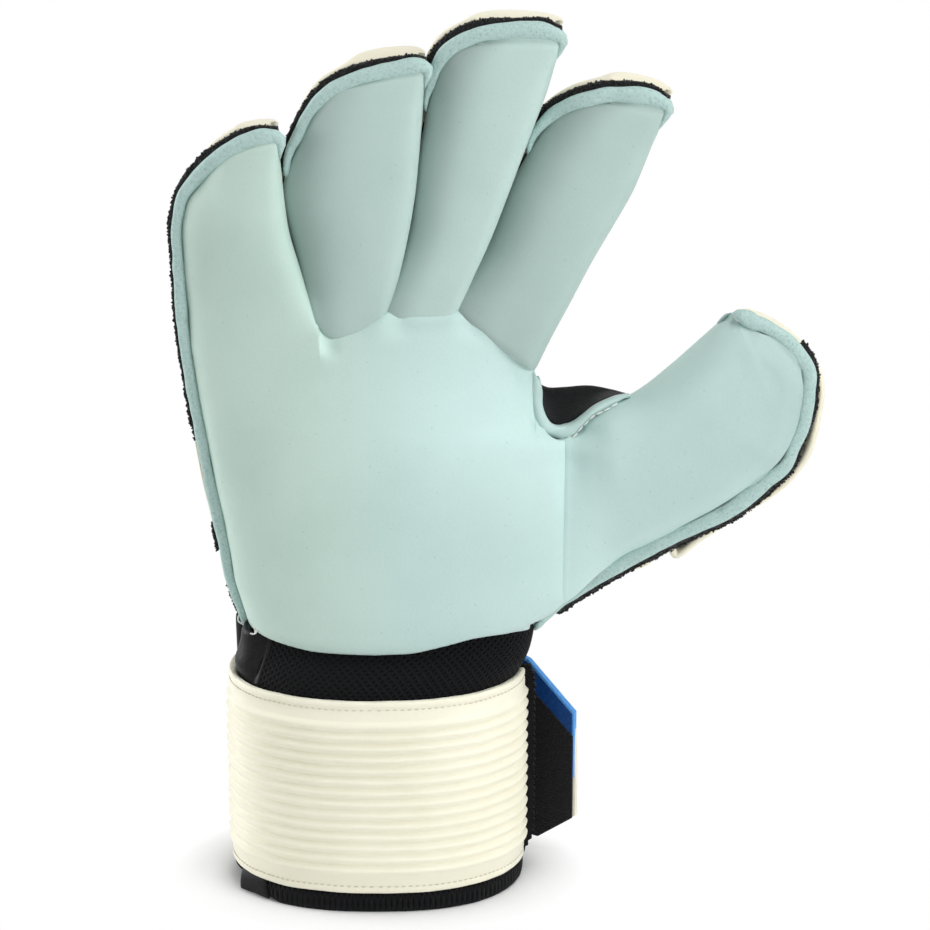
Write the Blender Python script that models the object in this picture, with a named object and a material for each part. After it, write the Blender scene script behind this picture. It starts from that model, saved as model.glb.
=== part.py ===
"""A right-hand goalkeeper glove with rolled latex fingers, standing on its cuff.

Metres. +Z runs up the hand, the palm looks towards -Y and the thumb points to +X.
Every finger is a stall of two latex half shells with a layer of black mesh sewn between them.
"""

import math

import bmesh
import bpy
from mathutils import Matrix, Vector

# Fits and layers
SEAM_GAP = 0.0003  # between pieces that are sewn or pressed together
MESH_LAYER = 0.0012  # black mesh between palm side and back
LATEX_WALL = 0.0040  # latex foam with its lining
FIN_LAYER = 0.0018  # thickness of the raw latex edge outside a seam
FIN_WIDTH = 0.0042  # how far that raw edge stands outside the seam
MESH_MARGIN = 0.0015  # the mesh shows this far beyond the latex edge
BACK_MARGIN = 0.0030  # the back latex domes this far past the fingertip
FIN_ROOT = 0.0015  # the edge starts this far inside the wall

# Knuckle line, seen from the palm
KNUCKLE_HEIGHT = 0.1890
KNUCKLE_LEFT = -0.0595
LITTLE_ROOT_WIDTH = 0.0300
RING_ROOT_WIDTH = 0.0283
MIDDLE_ROOT_WIDTH = 0.0285
INDEX_ROOT_WIDTH = 0.0287
LITTLE_SPLAY = 0.0
RING_SPLAY = 9.0
MIDDLE_SPLAY = 15.0
INDEX_SPLAY = 20.0

# Fingers
LITTLE_LENGTH = 0.0580
RING_LENGTH = 0.0825
MIDDLE_LENGTH = 0.1045
INDEX_LENGTH = 0.0945
LITTLE_TIP_WIDTH = 0.0330
RING_TIP_WIDTH = 0.0342
MIDDLE_TIP_WIDTH = 0.0334
INDEX_TIP_WIDTH = 0.0334
FINGER_FRONT = 0.0150
FINGER_BACK = 0.0120
FINGER_TIP_ROUND = 0.0140

# Thumb
THUMB_CREASE_X = 0.0600
THUMB_DROP = 0.0640  # middle of the thumb's root below the knuckle line
THUMB_RISE = 36.0
THUMB_LENGTH = 0.0885
THUMB_WIDTH = 0.0460
THUMB_FRONT = 0.0150
THUMB_BACK = 0.0130
THUMB_TIP_ROUND = 0.0170

# Palm and back of the hand
PALM_BOTTOM = 0.0840
WRIST_LEFT = -0.0460
WRIST_RIGHT = 0.0510
KNUCKLE_RIGHT = 0.0545
WRIST_FRONT = 0.0260
WRIST_BACK = 0.0240
KNUCKLE_FRONT = 0.0160
KNUCKLE_BACK = 0.0130
THENAR_BOTTOM = 0.0920
CROTCH_DROP = 0.0310  # crotch of the thumb below the knuckle line
THENAR_BULGE = 0.0270

# Black web between thumb and index finger
GUSSET_RISE = 0.0130
GUSSET_REACH = 0.0220
GUSSET_FRONT = 0.0020
GUSSET_DEPTH = 0.0080

# Knitted cuff
CUFF_HALF_WIDTH = 0.0455
CUFF_HALF_DEPTH = 0.0315
CUFF_WALL = 0.0026
CUFF_SLEEVE = 0.0110  # length of cuff sewn inside the hand
HEM_HEIGHT = 0.0064
HEM_LAYER = 0.0020

# Wrist strap
STRAP_BOTTOM = 0.0070
STRAP_TOP = 0.0734
STRAP_LAYER = 0.0026
STRAP_MARGIN = 0.0062  # flat sewn border above and below the ribs
RIB_COUNT = 13
RIB_HEIGHT = 0.0012
STRAP_RIGHT_END = -5.0  # angles round the wrist, from +X towards the back
STRAP_LEFT_END = 180.0
STRAP_BACK_END = 48.0
BINDING_WIDTH = 0.0016
BINDING_STAND = 0.0030
LOOP_PATCH_LAYER = 0.0010
LOOP_PATCH_MARGIN = 0.0060

# Closure tab, the free end of the strap
TAB_LENGTH = 0.0390
TAB_HOOK_LAYER = 0.0011
TAB_COVER_LAYER = 0.0017
TAB_TOP_CHAMFER = 0.0180
TAB_TOP_RUN = 0.0150
TAB_BOTTOM_CHAMFER = 0.0070
TAB_BOTTOM_RUN = 0.0125
TAB_TRIM_WIDTH = 0.0018

# Leatherette patch and pull tab on the little-finger side
PATCH_ANGLE = 206.0
PATCH_SPAN = 16.0
PATCH_LAYER = 0.0012
PULL_TAB_SPAN = 15.0
PULL_TAB_LAYER = 0.0016

# Form of the sections
SECTION_POWER = 2.4
WRIST_POWER = 2.2
TIP_POWER = 3.2
HAND_SEGMENTS = 28
FINGER_SEGMENTS = 18
TIP_ANGLES = (24.0, 46.0, 64.0, 80.0)
HAND_STATIONS = 12
CLEAR = 0.1200  # how far a cutter reaches past what it cuts

LAYER_EDGE = MESH_LAYER / 2 + SEAM_GAP
THUMB_HEIGHT = KNUCKLE_HEIGHT - THUMB_DROP
THENAR_TOP = KNUCKLE_HEIGHT - CROTCH_DROP


def clear_scene():
    for item in list(bpy.data.objects):
        bpy.data.objects.remove(item)


def new_collection(name):
    collection = bpy.data.collections.new(name)
    bpy.context.scene.collection.children.link(collection)
    return collection


def srgb(code):
    channels = [int(code[i : i + 2], 16) / 255 for i in (0, 2, 4)]
    return [c / 12.92 if c < 0.04045 else ((c + 0.055) / 1.055) ** 2.4 for c in channels]


def material(name, code, roughness):
    made = bpy.data.materials.new(name)
    made.use_nodes = True
    shader = made.node_tree.nodes["Principled BSDF"]
    shader.inputs["Base Color"].default_value = (*srgb(code), 1.0)
    shader.inputs["Roughness"].default_value = roughness
    shader.inputs["Metallic"].default_value = 0.0
    return made


clear_scene()
PARTS = new_collection("goalkeeper_glove")
CUTTERS = new_collection("glove_cutters")
FRAME = bpy.data.objects.new("glove_frame", None)
PARTS.objects.link(FRAME)

PALM_LATEX = material("palm_latex", "BFD9D6", 0.62)
BACK_LATEX = material("back_latex", "F1EEDC", 0.60)
BLACK_MESH = material("black_mesh", "16171A", 0.90)
BLACK_KNIT = material("black_knit", "17181B", 0.88)
LEATHERETTE = material("black_leatherette", "1B1B1D", 0.45)
STRAP_LATEX = material("strap_latex", "F3F0E0", 0.55)
HOOK_FELT = material("hook_felt", "141517", 0.95)
BLUE_TRIM = material("blue_trim", "5FA6F3", 0.50)


def smooth(value):
    value = min(1.0, max(0.0, value))
    return value * value * (3 - 2 * value)


def mix(first, last, share):
    return first + (last - first) * share


def oval(angle, left, right, front, back, power):
    """A point on a rounded section whose four reaches differ."""
    c, s = math.cos(angle), math.sin(angle)
    x = (right if c >= 0 else -left) * abs(c) ** (2 / power)
    y = (back if s >= 0 else -front) * abs(s) ** (2 / power)
    return x, y


def turn(count):
    return [2 * math.pi * (i + 0.5) / count for i in range(count)]


def finish_mesh(name, bm):
    bmesh.ops.recalc_face_normals(bm, faces=bm.faces)
    mesh = bpy.data.meshes.new(name)
    bm.to_mesh(mesh)
    bm.free()
    mesh.shade_smooth()
    mesh.set_sharp_from_angle(angle=math.radians(40))
    made = bpy.data.objects.new(name, mesh)
    CUTTERS.objects.link(made)
    made.parent = FRAME
    return made


def loft(name, rings, closed=False):
    """A closed skin over rings of equal count, capped at both ends unless it runs round."""
    bm = bmesh.new()
    loops = [[bm.verts.new(p) for p in ring] for ring in rings]
    pairs = list(zip(loops, loops[1:]))
    if closed:
        pairs.append((loops[-1], loops[0]))
    for low, high in pairs:
        for i in range(len(low)):
            j = (i + 1) % len(low)
            bm.faces.new((low[i], low[j], high[j], high[i]))
    if not closed:
        bm.faces.new(loops[0])
        bm.faces.new(loops[-1])
    return finish_mesh(name, bm)


def plate(name, outline, near, far, frame=None):
    """A flat outline of (across, up) points given a depth from near to far."""
    bm = bmesh.new()
    face = bm.faces.new([bm.verts.new((x, near, z)) for x, z in outline])
    grown = bmesh.ops.extrude_face_region(bm, geom=[face])
    moved = [v for v in grown["geom"] if isinstance(v, bmesh.types.BMVert)]
    bmesh.ops.translate(bm, vec=(0, far - near, 0), verts=moved)
    if frame is not None:
        bm.transform(frame)
    return finish_mesh(name, bm)


def guide(item):
    item.hide_render = True
    item.display_type = "WIRE"
    return item


def cut(item, operation, *tools):
    for tool in tools:
        modifier = item.modifiers.new(f"{operation.lower()} {tool.name}", "BOOLEAN")
        modifier.operation = operation
        modifier.solver = "EXACT"
        modifier.object = guide(tool)
    return item


def sub_part(item, name, finish, hinge=None):
    """Names a finished solid, gives it its material and hangs it on its hinge."""
    item.name = name
    item.data.name = name
    item.data.materials.append(finish)
    CUTTERS.objects.unlink(item)
    PARTS.objects.link(item)
    if hinge is not None:
        item.data.transform(Matrix.Translation(-hinge.location))
        item.parent = hinge
    return item


def hinge_at(name, place, parent=FRAME):
    empty = bpy.data.objects.new(name, None)
    empty.empty_display_size = 0.01
    PARTS.objects.link(empty)
    empty.parent = parent
    empty.location = place
    return empty


class Digit:
    """Sizes of one finger or the thumb, in axes across, depth and along the digit."""

    def __init__(self, name, base, lean, root, tip, length, front, back, tip_round):
        self.name = name
        lean = math.radians(lean)
        self.across = Vector((math.cos(lean), 0, -math.sin(lean)))
        self.along = Vector((math.sin(lean), 0, math.cos(lean)))
        self.frame = Matrix((self.across, (0, 1, 0), self.along)).transposed().to_4x4()
        self.frame.translation = base
        self.base = base
        self.root = root
        self.tip = tip
        self.length = length
        self.front = front
        self.back = back
        self.tip_round = tip_round

    def half_width(self, along):
        return mix(self.root, self.tip, smooth(along / (self.length - self.tip_round)))

    def stations(self, start, length):
        """(distance along, share of the full section) from the root to the blunt tip."""
        shoulder = length - self.tip_round
        places = [(start, 1.0), (0.0, 1.0), (shoulder * 0.35, 1.0), (shoulder * 0.7, 1.0)]
        places.append((shoulder, 1.0))
        for angle in map(math.radians, TIP_ANGLES):
            along = shoulder + self.tip_round * math.sin(angle) ** (2 / TIP_POWER)
            places.append((along, math.cos(angle) ** (2 / TIP_POWER)))
        return places

    def tube(self, label, start, grow, extra_length=0.0):
        """The digit's rounded skin, grown or shrunk by an even amount."""
        rings = []
        for along, share in self.stations(start, self.length + grow + extra_length):
            half = (self.half_width(along) + grow) * share
            front = (self.front + grow) * share
            back = (self.back + grow) * share
            ring = [oval(t, half, half, front, back, SECTION_POWER) for t in turn(FINGER_SEGMENTS)]
            rings.append([self.frame @ Vector((x, y, along)) for x, y in ring])
        return loft(f"{self.name}_{label}", rings)

    def outline(self, start, left, right, past_tip):
        """Seam outline: side margins beyond the wall and a reach past the tip."""
        shoulder = self.length - self.tip_round
        sides = [start, shoulder * 0.35, shoulder * 0.7, shoulder]
        points = [(-self.half_width(s) - left, s) for s in sides]
        reach = self.tip_round + past_tip
        arc = [math.radians(a) for a in TIP_ANGLES]
        for angle in arc:
            side = -(self.tip + left) * math.cos(angle) ** (2 / TIP_POWER)
            points.append((side, shoulder + reach * math.sin(angle) ** (2 / TIP_POWER)))
        for angle in reversed(arc):
            side = (self.tip + right) * math.cos(angle) ** (2 / TIP_POWER)
            points.append((side, shoulder + reach * math.sin(angle) ** (2 / TIP_POWER)))
        points += [(self.half_width(s) + right, s) for s in reversed(sides)]
        return points


def knuckle_chain():
    """Points of the knuckle line from the little finger to the thumb side."""
    widths = (LITTLE_ROOT_WIDTH, RING_ROOT_WIDTH, MIDDLE_ROOT_WIDTH, INDEX_ROOT_WIDTH)
    splays = (LITTLE_SPLAY, RING_SPLAY, MIDDLE_SPLAY, INDEX_SPLAY)
    points = [Vector((KNUCKLE_LEFT, 0, KNUCKLE_HEIGHT))]
    for width, splay in zip(widths, map(math.radians, splays)):
        points.append(points[-1] + width * Vector((math.cos(splay), 0, -math.sin(splay))))
    return points


CHAIN = knuckle_chain()


def finger(name, place, splay, root_width, tip_width, length):
    base = (CHAIN[place] + CHAIN[place + 1]) / 2
    root = root_width / 2 - 1.5 * SEAM_GAP
    sizes = (FINGER_FRONT, FINGER_BACK, FINGER_TIP_ROUND)
    return Digit(name, base, splay, root, tip_width / 2, length, *sizes)


LITTLE = finger("little", 0, LITTLE_SPLAY, LITTLE_ROOT_WIDTH, LITTLE_TIP_WIDTH, LITTLE_LENGTH)
RING = finger("ring", 1, RING_SPLAY, RING_ROOT_WIDTH, RING_TIP_WIDTH, RING_LENGTH)
MIDDLE = finger("middle", 2, MIDDLE_SPLAY, MIDDLE_ROOT_WIDTH, MIDDLE_TIP_WIDTH, MIDDLE_LENGTH)
INDEX = finger("index", 3, INDEX_SPLAY, INDEX_ROOT_WIDTH, INDEX_TIP_WIDTH, INDEX_LENGTH)
THUMB = Digit(
    "thumb",
    Vector((THUMB_CREASE_X, 0, THUMB_HEIGHT)),
    90.0 - THUMB_RISE,
    THUMB_WIDTH / 2,
    THUMB_WIDTH / 2,
    THUMB_LENGTH,
    THUMB_FRONT,
    THUMB_BACK,
    THUMB_TIP_ROUND,
)


def build_digit(digit, keep, start, left, right, hinge):
    """Palm-side roll with its raw edge, mesh layer and back of one digit.

    keep lists the outline, in the digit's own axes or the glove's, that belongs to the digit.
    """
    region, region_frame = keep
    front_keep = plate(f"{digit.name}_front_keep", region, -CLEAR, -LAYER_EDGE, region_frame)
    layer_keep = plate(f"{digit.name}_layer_keep", region, -CLEAR, CLEAR, region_frame)
    back_keep = plate(f"{digit.name}_back_keep", region, LAYER_EDGE, CLEAR, region_frame)
    stall = digit.tube("stall", start, -LATEX_WALL)

    roll = digit.tube("roll", start / 2, 0.0)
    edge = digit.outline(start / 2, left, right, FIN_WIDTH)
    fin = plate(f"{digit.name}_fin", edge, -LAYER_EDGE - FIN_LAYER, 0.0, digit.frame)
    cut(roll, "UNION", fin)
    cut(roll, "INTERSECT", front_keep)
    cut(roll, "DIFFERENCE", stall)
    sub_part(roll, f"{digit.name}_roll", PALM_LATEX, hinge)

    margins = [m + MESH_MARGIN if m > 0 else m for m in (left, right)]
    edge = digit.outline(start / 2, *margins, FIN_WIDTH + MESH_MARGIN)
    layer = plate(f"{digit.name}_layer", edge, -MESH_LAYER / 2, MESH_LAYER / 2, digit.frame)
    cut(layer, "INTERSECT", layer_keep)
    cut(layer, "DIFFERENCE", stall)
    sub_part(layer, f"{digit.name}_seam_mesh", BLACK_MESH, hinge)

    back = digit.tube("back", start / 2, 0.0, BACK_MARGIN)
    cut(back, "INTERSECT", back_keep)
    cut(back, "DIFFERENCE", stall)
    sub_part(back, f"{digit.name}_back", BACK_LATEX, hinge)


def build_finger(digit, left):
    """A finger flexes about the palm-side edge of its root."""
    place = digit.base + Vector((0, -digit.front - SEAM_GAP, 0))
    hinge = hinge_at(f"{digit.name}_hinge", place)
    reach = digit.length + CLEAR
    keep = [(-CLEAR, SEAM_GAP / 2), (CLEAR, SEAM_GAP / 2), (CLEAR, reach), (-CLEAR, reach)]
    build_digit(digit, (keep, digit.frame), -2 * LATEX_WALL, left, -FIN_ROOT, hinge)
    return hinge


def build_thumb():
    """The thumb folds about the palm crease, across the palm."""
    place = Vector((THUMB_CREASE_X, -THUMB_FRONT - SEAM_GAP, THUMB_HEIGHT))
    hinge = hinge_at("thumb_hinge", place)
    near = THUMB_CREASE_X + SEAM_GAP / 2
    far = near + THUMB_LENGTH + CLEAR
    keep = [(near, 0.0), (far, 0.0), (far, far), (near, far)]
    build_digit(THUMB, (keep, None), -THUMB_WIDTH * 1.4, -FIN_ROOT, FIN_WIDTH, hinge)
    return hinge


def hand_edges(height):
    """Left and right reach, front and back depth of the hand at a height."""
    share = (height - PALM_BOTTOM) / (KNUCKLE_HEIGHT - PALM_BOTTOM)
    left = mix(WRIST_LEFT, KNUCKLE_LEFT, smooth(share * 0.9 + 0.1))
    right = mix(WRIST_RIGHT, KNUCKLE_RIGHT, min(1.0, share))
    rise = (height - THENAR_BOTTOM) / (THENAR_TOP - THENAR_BOTTOM)
    if 0 < rise < 1:
        right += THENAR_BULGE * math.sin(math.pi * rise) ** 0.7
    front = mix(WRIST_FRONT, KNUCKLE_FRONT, smooth(share))
    back = mix(WRIST_BACK, KNUCKLE_BACK, smooth(share))
    return left, right, front, back


def hand_section(height, grow, z=None):
    left, right, front, back = hand_edges(height)
    centre = (left + right) / 2
    half = (right - left) / 2 + grow
    reaches = (half, half, front + grow, back + grow, SECTION_POWER)
    level = height if z is None else z
    return [
        Vector((centre + x, y, level))
        for x, y in (oval(t, *reaches) for t in turn(HAND_SEGMENTS))
    ]


def hand_heights(low, high):
    return [mix(low, high, i / (HAND_STATIONS - 1)) for i in range(HAND_STATIONS)]


def hand_loft(name, grow, below=0.0):
    heights = hand_heights(PALM_BOTTOM, KNUCKLE_HEIGHT + FINGER_FRONT)
    rings = [hand_section(z, grow) for z in heights]
    if below:
        rings.insert(0, hand_section(PALM_BOTTOM, grow, PALM_BOTTOM - below))
    return loft(name, rings)


def hand_region(low_x, high_x, low_z):
    """Outline below the knuckle line between two upright limits."""
    drop = Vector((0, 0, -SEAM_GAP / 2))
    chain = [p + drop for p in CHAIN]
    slope = math.tan(math.radians(INDEX_SPLAY))
    last = chain[-1] + (CLEAR * Vector((1, 0, -slope)))
    chain = [chain[0] - Vector((CLEAR, 0, 0)), *chain[1:-1], last]
    top = []
    for first, second in zip(chain, chain[1:]):
        left, right = max(first.x, low_x), min(second.x, high_x)
        if left >= right:
            continue
        for x in (left, right):
            point = (x, mix(first.z, second.z, (x - first.x) / (second.x - first.x)))
            if not top or abs(top[-1][0] - x) > SEAM_GAP / 10:
                top.append(point)
    return [(high_x, low_z), (low_x, low_z), *top]


def build_hand():
    """Palm, back of the hand, the mesh layers sewn between them and the thumb web."""
    floor = PALM_BOTTOM - LATEX_WALL
    crease = THUMB_CREASE_X - SEAM_GAP / 2
    outer_left = KNUCKLE_LEFT - CLEAR
    whole = hand_region(outer_left, crease, floor)
    cavity = hand_loft("hand_cavity", -LATEX_WALL, 2 * LATEX_WALL)

    heights = hand_heights(PALM_BOTTOM, KNUCKLE_HEIGHT - SEAM_GAP / 2)
    inner = [(hand_edges(z)[0] + FIN_ROOT, z) for z in reversed(heights)]

    def left_edge(stand):
        return [(hand_edges(z)[0] - stand, z) for z in heights] + inner

    heel = hand_heights(PALM_BOTTOM, (THENAR_BOTTOM + THENAR_TOP) / 2)
    heel_edge = [(hand_edges(z)[1] + FIN_WIDTH, z) for z in heel]
    heel_edge += [(hand_edges(z)[1] - FIN_ROOT, z) for z in reversed(heel)]

    palm = hand_loft("palm_panel", 0.0)
    fin_depth = (-LAYER_EDGE - FIN_LAYER, 0.0)
    cut(palm, "UNION", plate("palm_fin", left_edge(FIN_WIDTH), *fin_depth))
    cut(palm, "UNION", plate("heel_fin", heel_edge, *fin_depth))
    cut(palm, "INTERSECT", plate("palm_keep", whole, -CLEAR, -LAYER_EDGE))
    cut(palm, "DIFFERENCE", cavity)
    sub_part(palm, "palm_panel", PALM_LATEX)

    back = hand_loft("backhand_panel", 0.0)
    cut(back, "INTERSECT", plate("backhand_keep", whole, LAYER_EDGE, CLEAR))
    cut(back, "DIFFERENCE", cavity)
    sub_part(back, "backhand_panel", BACK_LATEX)

    middle_x = CHAIN[2].x
    left_region = hand_region(outer_left, middle_x, floor)
    heel_region = [(middle_x, floor), (crease, floor), (crease, THUMB_HEIGHT), (middle_x, THUMB_HEIGHT)]
    crotch_region = hand_region(middle_x, crease, THUMB_HEIGHT)
    layers = {
        "outer_seam_mesh": left_region,
        "heel_seam_mesh": heel_region,
        "crotch_seam_mesh": crotch_region,
    }
    for name, region in layers.items():
        layer = hand_loft(name, 0.0)
        if name == "outer_seam_mesh":
            edge = left_edge(FIN_WIDTH + MESH_MARGIN)
            cut(layer, "UNION", plate("outer_mesh_edge", edge, -CLEAR / 2, CLEAR / 2))
        keep = plate(f"{name}_keep", region, -MESH_LAYER / 2, MESH_LAYER / 2)
        cut(layer, "INTERSECT", keep)
        cut(layer, "DIFFERENCE", cavity)
        sub_part(layer, name, BLACK_MESH)

    corner = Vector((KNUCKLE_RIGHT, THENAR_TOP - GUSSET_RISE / 2))
    web = [
        (corner.x - GUSSET_RISE / 2, corner.y),
        (corner.x + GUSSET_REACH, corner.y),
        (corner.x + GUSSET_REACH + GUSSET_RISE / 2, corner.y + GUSSET_RISE),
        (corner.x + SEAM_GAP * 4, corner.y + GUSSET_RISE),
    ]
    gusset = plate("thumb_gusset", web, GUSSET_FRONT, GUSSET_FRONT + GUSSET_DEPTH)
    cut(gusset, "DIFFERENCE", hand_loft("hand_clearance", SEAM_GAP))
    cut(gusset, "DIFFERENCE", THUMB.tube("clearance", -THUMB_WIDTH / 2, SEAM_GAP))
    cut(gusset, "DIFFERENCE", INDEX.tube("clearance", -LATEX_WALL, SEAM_GAP, BACK_MARGIN))
    sub_part(gusset, "thumb_gusset", BLACK_MESH)


def wrist_corner(number, stand):
    """A corner of the many-sided wrist, standing off the knit by an even amount."""
    t = 2 * math.pi * (number + 0.5) / HAND_SEGMENTS
    x, y = oval(t, CUFF_HALF_WIDTH, CUFF_HALF_WIDTH, CUFF_HALF_DEPTH, CUFF_HALF_DEPTH, WRIST_POWER)
    c, s = math.cos(t), math.sin(t)
    share = 2 - 2 / WRIST_POWER
    across = math.copysign(abs(c) ** share / CUFF_HALF_WIDTH, c)
    depth = math.copysign(abs(s) ** share / CUFF_HALF_DEPTH, s)
    return Vector((x, y, 0)) + stand * Vector((across, depth, 0)).normalized()


def wrist_place(angle):
    """Corner before an angle and the share of the side that leads on from it."""
    count = angle * HAND_SEGMENTS / 360 - 0.5
    number = math.floor(count)
    return number, count - number


def wrist_point(angle, stand, z):
    number, share = wrist_place(angle)
    point = wrist_corner(number, stand).lerp(wrist_corner(number + 1, stand), share)
    return point + Vector((0, 0, z))


def wrist_band(name, first, last, profile):
    """Sweeps a profile of (stand, height) points round the wrist between two angles."""
    numbers = range(wrist_place(first)[0] + 1, wrist_place(last)[0] + 1)
    corners = [360 * (n + 0.5) / HAND_SEGMENTS for n in numbers]
    angles = [first, *[a for a in corners if first < a < last], last]
    return loft(name, [[wrist_point(a, d, z) for d, z in profile] for a in angles])


def wrist_ring(stand, z):
    up = Vector((0, 0, z))
    return [wrist_corner(i, stand) + up for i in range(HAND_SEGMENTS)]


def build_cuff():
    """Knitted tube sewn inside the hand, its folded hem, side patch and pull tab."""
    shoulder = PALM_BOTTOM - SEAM_GAP
    sleeve = -LATEX_WALL - SEAM_GAP
    top = PALM_BOTTOM + CUFF_SLEEVE
    heights = hand_heights(PALM_BOTTOM, KNUCKLE_HEIGHT + FINGER_FRONT)
    joints = [z for z in heights if z < top] + [top]
    outer = [wrist_ring(0.0, 0.0), wrist_ring(0.0, STRAP_TOP)]
    outer.append(hand_section(PALM_BOTTOM, -SEAM_GAP, shoulder))
    outer.append(hand_section(PALM_BOTTOM, sleeve, shoulder))
    outer += [hand_section(z, sleeve) for z in joints]
    bore = [wrist_ring(-CUFF_WALL, -CUFF_WALL), wrist_ring(-CUFF_WALL, STRAP_TOP)]
    bore += [hand_section(z, sleeve - CUFF_WALL) for z in joints]
    bore.append(hand_section(top, sleeve - CUFF_WALL, top + CUFF_WALL))
    cuff = cut(loft("wrist_cuff", outer), "DIFFERENCE", loft("cuff_bore", bore))
    sub_part(cuff, "wrist_cuff", BLACK_KNIT)

    near, far = SEAM_GAP, SEAM_GAP + HEM_LAYER
    corners = ((near, 0.0), (far, 0.0), (far, HEM_HEIGHT), (near, HEM_HEIGHT))
    rings = [
        [wrist_corner(i, stand) + Vector((0, 0, z)) for stand, z in corners]
        for i in range(HAND_SEGMENTS)
    ]
    sub_part(loft("cuff_hem", rings, closed=True), "cuff_hem", BLACK_KNIT)

    low, high = STRAP_TOP + SEAM_GAP, STRAP_TOP + STRAP_MARGIN
    profile = [
        (SEAM_GAP, low),
        (SEAM_GAP + PATCH_LAYER, low),
        (SEAM_GAP + PATCH_LAYER, high),
        (SEAM_GAP, high),
    ]
    ends = (PATCH_ANGLE - PATCH_SPAN / 2, PATCH_ANGLE + PATCH_SPAN / 2)
    patch = wrist_band("side_patch", *ends, profile)
    sub_part(patch, "side_patch", LEATHERETTE)

    stand = far + SEAM_GAP
    low, high = SEAM_GAP, STRAP_BOTTOM - SEAM_GAP
    profile = [
        (stand, low),
        (stand + PULL_TAB_LAYER, low),
        (stand + PULL_TAB_LAYER, high),
        (stand, high),
    ]
    ends = (PATCH_ANGLE - PULL_TAB_SPAN / 2, PATCH_ANGLE + PULL_TAB_SPAN / 2)
    sub_part(wrist_band("pull_tab", *ends, profile), "pull_tab", LEATHERETTE)


def rib_profile():
    """Strap section: flat back, sewn borders and a row of moulded ribs."""
    inner, face = SEAM_GAP, SEAM_GAP + STRAP_LAYER
    low, high = STRAP_BOTTOM + STRAP_MARGIN, STRAP_TOP - STRAP_MARGIN
    pitch = (high - low) / RIB_COUNT
    points = [(inner, STRAP_TOP), (inner, STRAP_BOTTOM), (face, STRAP_BOTTOM), (face, low)]
    for i in range(RIB_COUNT):
        points.append((face + RIB_HEIGHT, low + (i + 0.3) * pitch))
        points.append((face + RIB_HEIGHT, low + (i + 0.7) * pitch))
        points.append((face, low + (i + 1) * pitch))
    points.append((face, STRAP_TOP))
    return points


def strap_reach():
    return SEAM_GAP + STRAP_LAYER + RIB_HEIGHT


def build_strap():
    """Ribbed band round the wrist, bound at its sewn end and open on the far side."""
    profile = rib_profile()
    gap_angle = math.degrees(SEAM_GAP / CUFF_HALF_DEPTH)
    front = wrist_band("strap_front", STRAP_LEFT_END + gap_angle, 360 + STRAP_RIGHT_END, profile)
    sub_part(front, "strap_front", STRAP_LATEX)

    stand = strap_reach() + BINDING_STAND
    edge = [
        (SEAM_GAP, STRAP_TOP),
        (SEAM_GAP, STRAP_BOTTOM),
        (stand, STRAP_BOTTOM),
        (stand, STRAP_TOP),
    ]
    first = STRAP_RIGHT_END + 2 * gap_angle
    last = first + math.degrees(BINDING_WIDTH / CUFF_HALF_DEPTH)
    sub_part(wrist_band("strap_binding", first, last, edge), "strap_binding", BLACK_KNIT)

    patch = [
        (SEAM_GAP, STRAP_TOP - LOOP_PATCH_MARGIN),
        (SEAM_GAP, STRAP_BOTTOM + LOOP_PATCH_MARGIN),
        (SEAM_GAP + LOOP_PATCH_LAYER, STRAP_BOTTOM + LOOP_PATCH_MARGIN),
        (SEAM_GAP + LOOP_PATCH_LAYER, STRAP_TOP - LOOP_PATCH_MARGIN),
    ]
    loop = wrist_band("loop_patch", last + gap_angle, STRAP_BACK_END - gap_angle, patch)
    sub_part(loop, "loop_patch", HOOK_FELT)

    place = wrist_point(STRAP_LEFT_END, strap_reach(), STRAP_BOTTOM)
    hinge = hinge_at("strap_hinge", place)
    ends = (STRAP_BACK_END, STRAP_LEFT_END - gap_angle)
    sub_part(wrist_band("strap_back", *ends, profile), "strap_back", STRAP_LATEX, hinge)
    return hinge


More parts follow.
